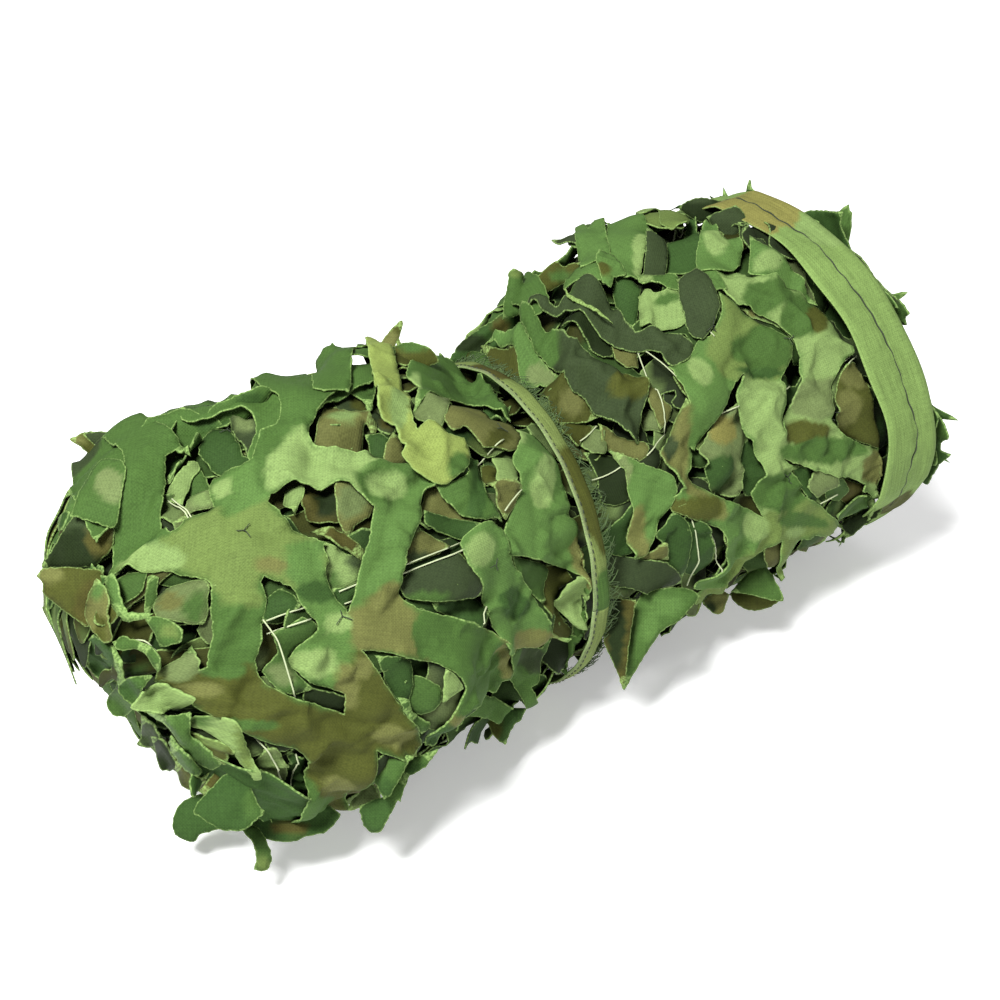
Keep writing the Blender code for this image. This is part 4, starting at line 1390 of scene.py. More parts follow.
# the left lobe: its outer net, what is over it, what stands at the far rim, and what shows in the openings
NEAR_NET = (
    Piece("arm_to_olive", "mid", 2.6,
        ((212, 578), (210, 590), (213, 622), (212, 640), (210, 656), (208, 667), (202, 671), (206, 690),
         (240, 704), (284, 698), (272, 686), (264, 672), (262, 658), (264, 638), (266, 620), (268, 602),
         (264, 584), (240, 572)), ((224, 588, 6, 8, "lime"),), ((214, 630, 262, 618, 1.2, 7),)),
    Piece("upper_left", "mid", 2.6,
        ((99, 448), (118, 438), (140, 431), (156, 430), (174, 437), (191, 454), (176, 449), (166, 458),
         (164, 480), (163, 500), (160, 513), (163, 524), (172, 532), (182, 546), (150, 566), (122, 566),
         (105, 564), (111, 552), (111, 535), (117, 515), (121, 497), (127, 478), (125, 467), (112, 456)),
        ((150, 545, 14, 9, "deep"),), ((150, 440, 142, 540, 1.8, 14),)),
    Piece("pale_hub", "lime", 2.6,
        ((107, 563), (125, 567), (150, 571), (168, 568), (182, 573), (198, 579), (208, 586), (218, 606),
         (262, 604), (260, 582), (264, 576), (276, 582), (292, 588), (314, 592), (330, 560), (320, 533),
         (300, 524), (287, 513), (278, 500), (270, 492), (262, 487), (240, 482), (216, 501), (200, 508),
         (184, 517), (178, 527), (170, 530), (150, 540), (130, 550)),
        ((150, 558, 34, 14, "pale"), (268, 566, 16, 8, "khaki")),
        ((210, 586, 240, 558, -1.6, 4), (222, 520, 250, 545, 0.9, 2.5), (130, 566, 200, 548, 1.3, 9))),
    Piece("round_middle", "soft", 2.6,
        ((213, 460), (208, 476), (211, 490), (216, 503), (224, 510), (245, 505), (270, 492), (275, 470),
         (268, 455), (250, 462), (232, 462)), ((222, 478, 10, 12, "pale"),),
        ((215, 500, 262, 480, -1.4, 6),)),
    Piece("top_middle", "mid", 2.6,
        ((245, 388), (262, 384), (285, 377), (300, 375), (314, 380), (332, 381), (347, 378), (352, 386),
         (336, 391), (328, 400), (318, 412), (310, 428), (309, 436), (300, 452), (280, 480), (262, 488),
         (250, 470), (253, 456), (260, 440), (274, 432), (280, 418), (281, 408), (277, 401), (262, 396),
         (250, 392)), (), ((290, 385, 265, 450, 1.6, 12),)),
    Piece("wing", "pale", 2.6,
        ((262, 486), (274, 487), (284, 482), (297, 478), (310, 482), (322, 484), (336, 481), (346, 482),
         (360, 491), (370, 500), (376, 508), (390, 500), (412, 476), (410, 461), (398, 460), (384, 457),
         (372, 450), (358, 450), (342, 448), (326, 445), (314, 441), (308, 433), (296, 431), (280, 445),
         (268, 465)), ((384, 480, 26, 24, "mid"),), ((290, 470, 345, 462, 1.5, 9),)),
    Piece("ridge", "soft", 2.6,
        ((376, 507), (374, 520), (370, 540), (366, 556), (361, 578), (357, 594), (350, 614), (366, 640),
         (400, 632), (426, 612), (411, 600), (406, 590), (404, 574), (406, 560), (413, 541), (420, 526),
         (424, 510), (427, 485), (440, 481), (436, 474), (420, 468), (410, 461), (390, 458), (360, 468),
         (352, 480), (362, 492)), ((392, 606, 18, 24, "khaki"), (388, 480, 20, 14, "pale")),
        ((414, 492, 382, 562, 2.6, 4), (404, 510, 378, 548, -0.9, 4), (362, 622, 392, 598, 0.9, 2))),
    Piece("round_right", "soft", 2.6,
        ((288, 545), (300, 536), (316, 531), (327, 540), (325, 556), (328, 575), (336, 592), (350, 612),
         (362, 640), (366, 655), (345, 648), (330, 628), (312, 616), (302, 605), (295, 592), (282, 578)),
        ((318, 592, 20, 10, "deep"), (340, 622, 12, 10, "pale")), ((290, 578, 330, 596, -1.6, 7),)),
    Piece("lobe_low", "soft", 2.6,
        ((312, 640), (302, 647), (298, 658), (300, 672), (312, 684), (330, 690), (346, 696), (358, 702),
         (362, 708), (357, 716), (368, 730), (392, 728), (400, 702), (385, 678), (374, 662), (364, 650),
         (350, 636), (330, 618), (318, 620), (322, 630)),
        ((322, 664, 24, 16, "pale"), (352, 690, 12, 22, "khaki")), ((318, 648, 350, 640, -1.4, 5),)),
    Piece("olive_low", "olive", 2.6,
        ((362, 648), (374, 662), (385, 678), (398, 697), (405, 708), (412, 722), (420, 728), (425, 740),
         (427, 750), (418, 758), (400, 760), (386, 758), (374, 748), (358, 736), (350, 716), (352, 690),
         (354, 665)), ((368, 670, 8, 12, "khaki"), (402, 742, 20, 12, "khaki")),
        ((362, 660, 366, 740, -1.8, 6), (378, 750, 392, 757, -1.2, 3))),
    Piece("olive_big", "olive", 2.6,
        ((156, 682), (162, 670), (172, 662), (184, 655), (195, 642), (199, 655), (202, 671), (216, 664),
         (262, 664), (268, 680), (278, 690), (292, 697), (312, 703), (332, 711), (352, 721), (368, 726),
         (380, 742), (382, 752), (378, 766), (370, 782), (356, 800), (345, 812), (330, 822), (308, 832),
         (290, 838), (272, 835), (285, 823), (298, 806), (310, 788), (313, 772), (308, 760), (298, 752),
         (276, 745), (258, 739), (238, 729), (214, 717), (198, 708), (192, 700), (176, 692)),
        ((186, 664, 18, 16, "sage"), (226, 668, 26, 10, "mid"), (236, 724, 36, 6, "mid"),
         (300, 812, 34, 17, "mid"), (200, 690, 24, 8, "khaki"), (340, 790, 14, 9, "khaki")),
        ((200, 690, 360, 745, 1.8, 12), (300, 700, 372, 742, -1.2, 6), (330, 780, 378, 744, 1.5, 6))),
    Piece("olive_to_green", "khaki", 2.6,
        ((350, 612), (352, 640), (361, 651), (376, 652), (392, 654), (408, 658), (424, 662), (440, 666),
         (452, 671), (460, 678), (463, 687), (455, 700), (446, 713), (438, 727), (432, 742), (431, 752),
         (440, 750), (452, 741), (460, 734), (470, 716), (486, 702), (500, 693), (512, 682), (517, 670),
         (516, 658), (510, 646), (500, 637), (488, 630), (474, 623), (455, 618), (436, 613), (422, 608),
         (410, 599), (400, 590), (370, 600)),
        ((480, 680, 30, 62, "mid"), (470, 645, 24, 30, "mid"), (440, 735, 16, 20, "deep"),
         (392, 606, 16, 14, "khaki")), ((378, 618, 440, 640, 1.4, 12), (500, 640, 446, 735, 1.3, 9))),
)
NEAR_OVER = (
    Piece("yellow_leaf", "yellow", 4.4,
        ((386, 365), (396, 374), (403, 382), (411, 391), (413, 402), (416, 412), (420, 424), (416, 436),
         (410, 444), (404, 438), (401, 424), (398, 416), (384, 410), (379, 402), (378, 386), (373, 377),
         (378, 369)), ((400, 400, 10, 20, "pale"),), ((384, 374, 402, 424, 1.6, 6),)),
    Piece("yellow_round", "yellow", 4.4,
        ((408, 440), (416, 424), (427, 418), (440, 423), (450, 432), (466, 434), (474, 444), (472, 460),
         (463, 472), (450, 480), (438, 477), (422, 468), (410, 458), (402, 450)),
        ((462, 462, 14, 14, "mid"),), ((414, 450, 462, 452, 1.8, 10),)),
)
RIM_PIECES = (
    Piece("rim_block", "deep", 0,
        ((798, 214), (812, 211), (828, 212), (843, 211), (842, 222), (845, 236), (852, 254), (848, 266),
         (830, 254), (802, 238))),
    Piece("rim_dark_edge", "dark", -0.5,
        ((846, 246), (862, 258), (876, 278), (892, 294), (903, 303), (911, 313), (905, 319), (906, 326),
         (896, 322), (880, 305), (862, 286), (848, 264)), ((905, 312, 12, 12, "mid"),)),
    Piece("rim_low", "deep", 0,
        ((928, 396), (938, 412), (946, 425), (952, 437), (941, 443), (938, 452), (948, 457), (938, 466),
         (930, 484), (918, 480), (920, 440), (918, 410)), ((944, 430, 8, 10, "mid"),)),
    Piece("rim_spike", "mid", 0, ((749, 202), (751, 190), (752, 178), (756, 187), (761, 194), (764, 206))),
)
NEAR_BITS = (
    Piece("left_side", "mid", 1.4,
        ((102, 461), (113, 459), (121, 461), (126, 467), (121, 490), (117, 510), (112, 518), (88, 518),
         (72, 521), (77, 503), (87, 482), (95, 468)), ((108, 480, 14, 16, "sage"),)),
    Piece("left_small", "deep", 1.6,
        ((71, 529), (82, 534), (90, 545), (99, 556), (108, 562), (98, 574), (87, 584), (81, 580), (72, 560),
         (69, 540)), ((98, 566, 8, 8, "mid"),), ((78, 536, 92, 574, 1.2, 4),)),
    Piece("olive_rounded", "mid", 2.4,
        ((331, 361), (340, 346), (349, 336), (360, 334), (374, 340), (383, 350), (386, 360), (376, 366),
         (362, 370), (350, 378), (338, 377), (324, 380), (312, 378), (320, 368)),
        ((374, 350, 12, 16, "olive"),), ((330, 372, 380, 352, 1.8, 8),)),
    Piece("arm_to_tie", "mid", 3.0,
        ((406, 376), (420, 368), (436, 362), (452, 361), (466, 360), (480, 371), (492, 382), (502, 394),
         (514, 412), (498, 403), (486, 395), (470, 392), (450, 392), (432, 396), (414, 402), (420, 388)),
        ((414, 384, 7, 12, "pale"),), ((424, 380, 492, 388, 1.4, 8),)),
    Piece("dark_fold", "mid", 2.0,
        ((436, 478), (456, 480), (468, 473), (474, 445), (484, 452), (486, 470), (488, 488), (496, 505),
         (506, 522), (497, 517), (488, 519), (470, 514), (450, 497)), ((480, 484, 9, 40, "deep"),),
        ((474, 450, 498, 514, -2.0, 4),)),
    Piece("round_centre", "soft", 3.0,
        ((466, 554), (463, 544), (468, 534), (478, 525), (492, 519), (504, 527), (511, 540), (515, 556),
         (527, 574), (541, 602), (548, 620), (554, 636), (562, 641), (571, 637), (566, 642), (545, 646),
         (528, 650), (512, 657), (507, 648), (500, 634), (494, 612), (486, 590), (480, 578), (470, 566)),
        ((536, 642, 24, 12, "khaki"), (484, 550, 15, 20, "pale"), (520, 606, 16, 14, "deep")),
        ((472, 530, 505, 548, 1.6, 8), (490, 596, 540, 600, -1.2, 6))),
    Piece("beside_tie", "soft", 2.4,
        ((510, 410), (522, 424), (536, 434), (545, 443), (556, 458), (566, 474), (569, 490), (571, 516),
         (586, 528), (596, 540), (601, 560), (603, 585), (594, 596), (588, 586), (582, 576), (566, 569),
         (546, 562), (530, 557), (514, 557), (510, 545), (512, 524), (518, 504), (524, 484), (520, 470),
         (514, 456), (520, 440), (520, 430)),
        ((590, 562, 13, 28, "khaki"), (518, 426, 9, 18, "pale"), (545, 480, 12, 24, "pale")),
        ((516, 552, 584, 524, 1.8, 7), (530, 450, 534, 540, 1.2, 8))),
    Piece("mint", "pale", 1.4,
        ((574, 575), (584, 576), (590, 590), (595, 602), (593, 616), (590, 632), (586, 642), (580, 632),
         (566, 615), (563, 604), (567, 590)), (), ((576, 580, 582, 634, 1.2, 5),)),
    Piece("wedge_low", "mid", 1.6,
        ((592, 598), (600, 582), (606, 575), (608, 600), (609, 625), (607, 642), (600, 649), (588, 655),
         (572, 661), (582, 648), (590, 632), (594, 614)), ((600, 592, 9, 14, "dark"),)),
    Piece("corner_low", "mid", 1.6,
        ((515, 658), (530, 654), (548, 656), (562, 651), (556, 664), (546, 674), (541, 684), (534, 690),
         (530, 700), (524, 706), (520, 690), (517, 674)), ((536, 662, 14, 12, "dark"),)),
    Piece("strip_low", "mid", 1.0,
        ((458, 735), (466, 721), (486, 711), (506, 705), (524, 702), (521, 712), (505, 717), (486, 723),
         (470, 731)), (), ((464, 728, 520, 706, 1.6, 4),)),
    Piece("pale_fold", "pale", 3.6,
        ((136, 708), (140, 700), (146, 690), (153, 685), (161, 683), (176, 688), (190, 695), (199, 700),
         (192, 708), (186, 712), (170, 713), (155, 712), (143, 711)), (), ((146, 700, 190, 702, 2.0, 7),)),
    Piece("curl_band", "pale", 2.2,
        ((192, 731), (203, 720), (218, 716), (232, 720), (241, 731), (248, 745), (254, 760), (258, 776),
         (252, 778), (242, 765), (232, 752), (222, 742), (210, 735), (200, 733)),
        ((246, 748, 9, 24, "lime"), (206, 724, 9, 8, "mid")), ((204, 726, 246, 756, 2.4, 5),)),
    Piece("curl_ring", "olive", 1.4,
        ((190, 724), (194, 734), (206, 741), (222, 744), (235, 750), (229, 762), (222, 764), (213, 756),
         (202, 748), (193, 742), (188, 734)), ((214, 742, 16, 6, "lime"),), ((196, 738, 228, 752, 2.0, 4),)),
)
NEAR_UNDER = (
    Piece("top_left", "mid", 0.4,
        ((136, 411), (150, 414), (165, 412), (182, 405), (190, 402), (196, 412), (210, 413), (222, 410),
         (231, 405), (234, 418), (228, 426), (212, 427), (204, 437), (200, 452), (192, 456), (180, 449),
         (174, 438), (160, 431), (148, 432), (140, 424)), ((214, 420, 16, 6, "deep"),),
        ((150, 420, 226, 414, 1.4, 7),)),
    Piece("deep_curve", "deep", -0.4,
        ((198, 452), (203, 437), (210, 428), (225, 427), (233, 432), (241, 445), (253, 458), (240, 464),
         (216, 464), (205, 458))),
    Piece("grey_leaf", "dark", -0.6,
        ((230, 420), (234, 412), (244, 408), (256, 410), (264, 424), (270, 433), (258, 440), (251, 454),
         (240, 441), (231, 430)), ((244, 422, 12, 10, "sage"),), ((238, 414, 262, 436, 1.2, 6),)),
    Piece("grey_top", "dark", -1.0, ((236, 390), (250, 391), (262, 396), (278, 402), (268, 409), (246, 409))),
    Piece("cone", "pale", 1.2,
        ((160, 492), (165, 486), (172, 478), (180, 468), (188, 458), (196, 455), (200, 461), (193, 467),
         (188, 482), (182, 499), (172, 498)), (), ((164, 490, 194, 458, 3.0, 5),)),
    Piece("deep_by_cone", "deep", -1.4,
        ((164, 460), (176, 452), (190, 456), (180, 470), (168, 484), (163, 478))),
    Piece("behind_cone", "mid", -1.0,
        ((190, 464), (198, 464), (209, 478), (208, 484), (195, 486), (183, 492), (184, 478))),
    Piece("sage_flap", "sage", 0.0,
        ((184, 517), (188, 497), (197, 488), (209, 482), (212, 493), (217, 501), (200, 509), (190, 514)),
        ((200, 496, 14, 9, "pale"),)),
    Piece("left_pale", "soft", 1.4,
        ((95, 464), (104, 460), (112, 457), (125, 468), (127, 478), (122, 497), (119, 515), (114, 530),
         (100, 540), (84, 531), (70, 526), (66, 528), (71, 510), (75, 495), (84, 482), (91, 474)),
        ((88, 526, 34, 12, "dark"), (100, 480, 16, 16, "mid")), ((100, 466, 84, 524, 1.6, 10),)),
    Piece("left_small", "deep", 2.6,
        ((62, 532), (72, 529), (86, 543), (99, 554), (104, 562), (92, 571), (84, 584), (75, 566), (69, 546),
         (62, 546)), (), ((72, 536, 90, 566, 1.6, 4),)),
    Piece("sage_round", "sage", 0.2,
        ((154, 604), (157, 594), (166, 585), (180, 580), (200, 581), (208, 588), (207, 600), (209, 612),
         (206, 623), (190, 623), (170, 619), (156, 617)),
        ((196, 606, 14, 14, "mid"), (170, 600, 12, 12, "khaki")), ((160, 610, 200, 590, 1.6, 9),)),
    Piece("green_wedge", "mid", 0.4,
        ((116, 570), (130, 570), (148, 571), (142, 590), (130, 600), (120, 604), (118, 588))),
    Piece("small_wedge", "mid", -0.6,
        ((147, 576), (159, 575), (158, 592), (154, 600), (152, 608), (146, 606), (146, 590))),
    Piece("hooked", "khaki", -0.4,
        ((328, 398), (340, 407), (352, 412), (366, 414), (377, 420), (378, 428), (372, 428), (366, 421),
         (364, 430), (368, 450), (350, 450), (330, 445), (314, 440), (319, 420)),
        ((344, 418, 16, 8, "pale"),), ((322, 430, 366, 416, 1.8, 5),)),
    Piece("dark_top", "dark", -1.4,
        ((332, 393), (346, 387), (360, 389), (368, 399), (380, 404), (390, 414), (399, 426), (390, 432),
         (376, 422), (366, 415), (350, 411), (338, 404)),
        ((360, 398, 12, 10, "olive"), (388, 420, 9, 9, "brown"))),
    Piece("khaki_side", "khaki", -0.8,
        ((384, 460), (387, 442), (394, 430), (401, 440), (410, 458), (400, 462))),
    Piece("green_side", "deep", -1.6, ((366, 430), (380, 432), (390, 440), (386, 458), (372, 452))),
    Piece("mid_curl", "mid", 1.4,
        ((344, 378), (360, 374), (378, 370), (375, 384), (373, 398), (368, 400), (366, 390), (358, 386),
         (350, 384))),
    Piece("brown_hole", "brown", -2.4,
        ((300, 482), (336, 480), (340, 505), (342, 527), (325, 524), (308, 518), (298, 500)),
        ((328, 500, 13, 22, "painted_shade"),), ((308, 490, 332, 516, 2.0, 5), (326, 484, 318, 520, -1.6, 4))),
    Piece("pale_slip", "pale", -1.0, ((286, 484), (302, 481), (304, 495), (296, 510), (284, 500))),
    Piece("oval", "khaki", -0.6,
        ((334, 482), (346, 484), (360, 490), (370, 500), (375, 508), (368, 518), (356, 524), (350, 537),
         (343, 530), (337, 518), (334, 500)), ((350, 500, 16, 16, "sage"),), ((342, 490, 352, 528, 1.8, 8),)),
    Piece("brown_strip", "brown", -1.4,
        ((314, 524), (338, 528), (352, 538), (368, 550), (364, 560), (348, 550), (328, 540))),
    Piece("pale_kite", "pale", 0.0,
        ((324, 538), (340, 546), (352, 552), (366, 558), (362, 573), (358, 583), (345, 587), (334, 592),
         (327, 575)), ((358, 562, 9, 10, "dark"), (334, 580, 6, 10, "mid"))),
    Piece("green_low", "deep", -1.0,
        ((330, 590), (345, 586), (359, 582), (354, 600), (346, 610), (338, 602))),
    Piece("pale_leaf_up", "sage", -0.2,
        ((414, 405), (430, 397), (453, 394), (448, 410), (443, 426), (430, 420), (421, 413))),
    Piece("khaki_folds", "khaki", -0.6,
        ((448, 400), (462, 401), (484, 402), (495, 414), (510, 420), (523, 434), (518, 452), (508, 452),
         (496, 448), (484, 447), (474, 438), (464, 431), (452, 434), (443, 424)),
        ((498, 438, 12, 8, "olive"),),
        ((462, 420, 484, 400, -2.0, 3), (486, 440, 510, 421, -1.8, 3), (462, 400, 466, 428, 1.6, 3))),
    Piece("deep_flap", "deep", 0.2, ((478, 396), (498, 397), (509, 408), (507, 418), (496, 416), (486, 408))),
    Piece("pale_bits", "pale", -0.8,
        ((496, 452), (510, 455), (522, 458), (520, 476), (508, 486), (498, 478), (500, 464))),
    Piece("olive_bit", "olive", -1.2, ((484, 460), (500, 462), (499, 482), (486, 484))),
    Piece("khaki_bit", "khaki", -1.0,
        ((487, 482), (506, 484), (522, 488), (516, 504), (508, 520), (498, 506))),
    Piece("brown_wedge", "khaki", -0.6,
        ((427, 487), (444, 483), (452, 495), (468, 510), (482, 521), (466, 519), (444, 512), (424, 508))),
    Piece("deep_mid", "deep", -1.2,
        ((424, 510), (444, 514), (472, 522), (478, 527), (466, 541), (452, 535), (440, 531), (422, 524))),
    Piece("khaki_wedge", "khaki", -0.8,
        ((418, 528), (436, 535), (450, 545), (440, 553), (420, 561), (406, 564), (411, 545)),
        ((420, 556, 14, 5, "dark"),)),
    Piece("dark_leaf", "dark", 0.2,
        ((404, 582), (420, 568), (440, 559), (459, 551), (467, 560), (477, 576), (486, 582), (482, 596),
         (462, 600), (430, 602), (412, 598)), ((430, 598, 22, 6, "mid"),), ((420, 580, 476, 572, 1.8, 9),)),
    Piece("deep_under", "deep", -1.0,
        ((430, 602), (462, 601), (482, 598), (486, 612), (478, 624), (456, 618), (436, 612))),
    Piece("mid_behind", "mid", 0.4,
        ((514, 557), (530, 560), (550, 566), (558, 572), (552, 590), (543, 604), (532, 590), (520, 572))),
    Piece("khaki_behind", "olive", -0.8,
        ((554, 567), (570, 569), (573, 590), (566, 600), (566, 620), (576, 635), (566, 642), (556, 638),
         (546, 612), (542, 604), (549, 588))),
    Piece("dark_low", "painted_shade", -1.6,
        ((566, 620), (586, 640), (590, 655), (560, 665), (530, 655), (548, 648), (566, 640))),
    Piece("hole_deep", "deep", -0.6,
        ((374, 655), (400, 657), (415, 662), (415, 680), (412, 702), (404, 708), (392, 690), (380, 668))),
    Piece("hole_pale", "pale", -0.6,
        ((447, 670), (457, 676), (464, 688), (453, 697), (444, 704), (446, 688))),
    Piece("hole_green", "mid", -1.6,
        ((416, 688), (430, 682), (446, 690), (446, 704), (436, 718), (424, 724), (414, 712))),
    Piece("small_arm", "mid", 0.6,
        ((398, 698), (408, 698), (414, 712), (426, 722), (432, 722), (426, 740), (414, 724), (405, 712))),
    Piece("by_string", "deep", -0.8,
        ((266, 600), (282, 585), (293, 592), (302, 606), (286, 614), (266, 622))),
    Piece("by_string_low", "mid", -1.0,
        ((272, 634), (300, 618), (320, 626), (314, 638), (300, 648), (296, 662), (302, 678), (312, 688),
         (290, 694), (278, 690), (268, 672), (284, 655)),
        ((286, 676, 12, 10, "sage"), (302, 696, 14, 9, "painted_shade"))),
    Piece("low_hole_shade", "painted_shade", -1.6,
        ((300, 686), (324, 690), (356, 702), (356, 716), (330, 712), (300, 700))),
    Piece("drop_pale", "sage", -0.6,
        ((258, 746), (270, 743), (284, 759), (290, 776), (285, 788), (276, 797), (262, 797), (255, 786),
         (255, 768)), ((268, 766, 12, 14, "pale"),), ((262, 750, 278, 792, 2.0, 7),)),
    Piece("drop_deep", "deep", -0.8,
        ((288, 752), (306, 760), (314, 774), (308, 790), (298, 806), (290, 800), (292, 776))),
    Piece("drop_olive", "olive", -0.8,
        ((262, 804), (280, 811), (297, 806), (288, 822), (280, 825), (270, 817))),
)
# the open end
END_PIECES = (
    Piece("end_green_left", "deep", 0.5,
        ((92, 635), (104, 641), (113, 645), (114, 660), (119, 678), (105, 685), (92, 673), (85, 656),
         (86, 644))),
    Piece("end_low_left", "mid", 0.2,
        ((112, 692), (119, 685), (129, 693), (139, 703), (132, 711), (122, 718), (112, 714), (106, 705),
         (108, 697))),
    Piece("end_cloth", "mid", 0.4,
        ((138, 708), (152, 713), (168, 716), (190, 712), (190, 735), (205, 748), (222, 764), (212, 771),
         (200, 766), (190, 758), (178, 742), (168, 728), (158, 720)), ((160, 718, 14, 8, "soft"),),
        ((160, 716, 206, 764, 2.0, 8),)),
    Piece("end_dark_low", "dark", -0.4,
        ((141, 716), (152, 724), (162, 740), (158, 747), (141, 747), (136, 744), (141, 736))),
    Piece("end_dark_low_b", "painted_shade", -0.4,
        ((150, 736), (162, 740), (172, 755), (180, 768), (168, 771), (160, 770), (156, 756))),
    Piece("end_strip_a", "mid", 1.4,
        ((170, 736), (180, 749), (192, 759), (204, 772), (197, 778), (186, 771), (176, 759), (169, 748))),
    Piece("end_strip_b", "olive", 0.9,
        ((174, 758), (188, 770), (200, 779), (209, 774), (203, 786), (190, 791), (182, 786), (177, 774))),
    Piece("end_ring", "mid", 2.2,
        ((113, 642), (122, 636), (136, 640), (150, 646), (158, 655), (161, 668), (157, 673), (151, 662),
         (144, 653), (134, 650), (124, 651), (116, 650)), (), ((120, 642, 156, 660, 2.0, 4),)),
    Piece("end_swirl", "mid", 1.2,
        ((113, 645), (117, 652), (121, 664), (124, 680), (132, 677), (142, 675), (153, 675), (146, 684),
         (139, 696), (136, 707), (126, 701), (118, 691), (117, 674), (113, 658)),
        ((128, 690, 14, 10, "deep"),), ((118, 656, 126, 696, 2.4, 4),)),
    Piece("end_sage", "khaki", 1.9,
        ((96, 578), (106, 590), (109, 600), (107, 612), (113, 641), (104, 643), (90, 629), (84, 612),
         (88, 596)), ((102, 630, 7, 12, "olive"), (98, 590, 8, 10, "soft")), ((98, 584, 104, 636, 2.0, 5),)),
    Piece("end_brown", "olive", 2.8, ((93, 621), (97, 610), (108, 603), (119, 611), (113, 624), (100, 626))),
    Piece("end_hook", "soft", 2.6,
        ((103, 580), (112, 572), (118, 583), (120, 600), (127, 613), (140, 613), (154, 613), (142, 620),
         (124, 622), (112, 607), (108, 594)), (), ((112, 578, 124, 616, 2.0, 4),)),
    Piece("end_flap", "mid", 1.6,
        ((144, 616), (160, 617), (172, 621), (183, 630), (181, 642), (160, 648), (156, 638)),
        ((170, 630, 10, 8, "lime"),)),
)
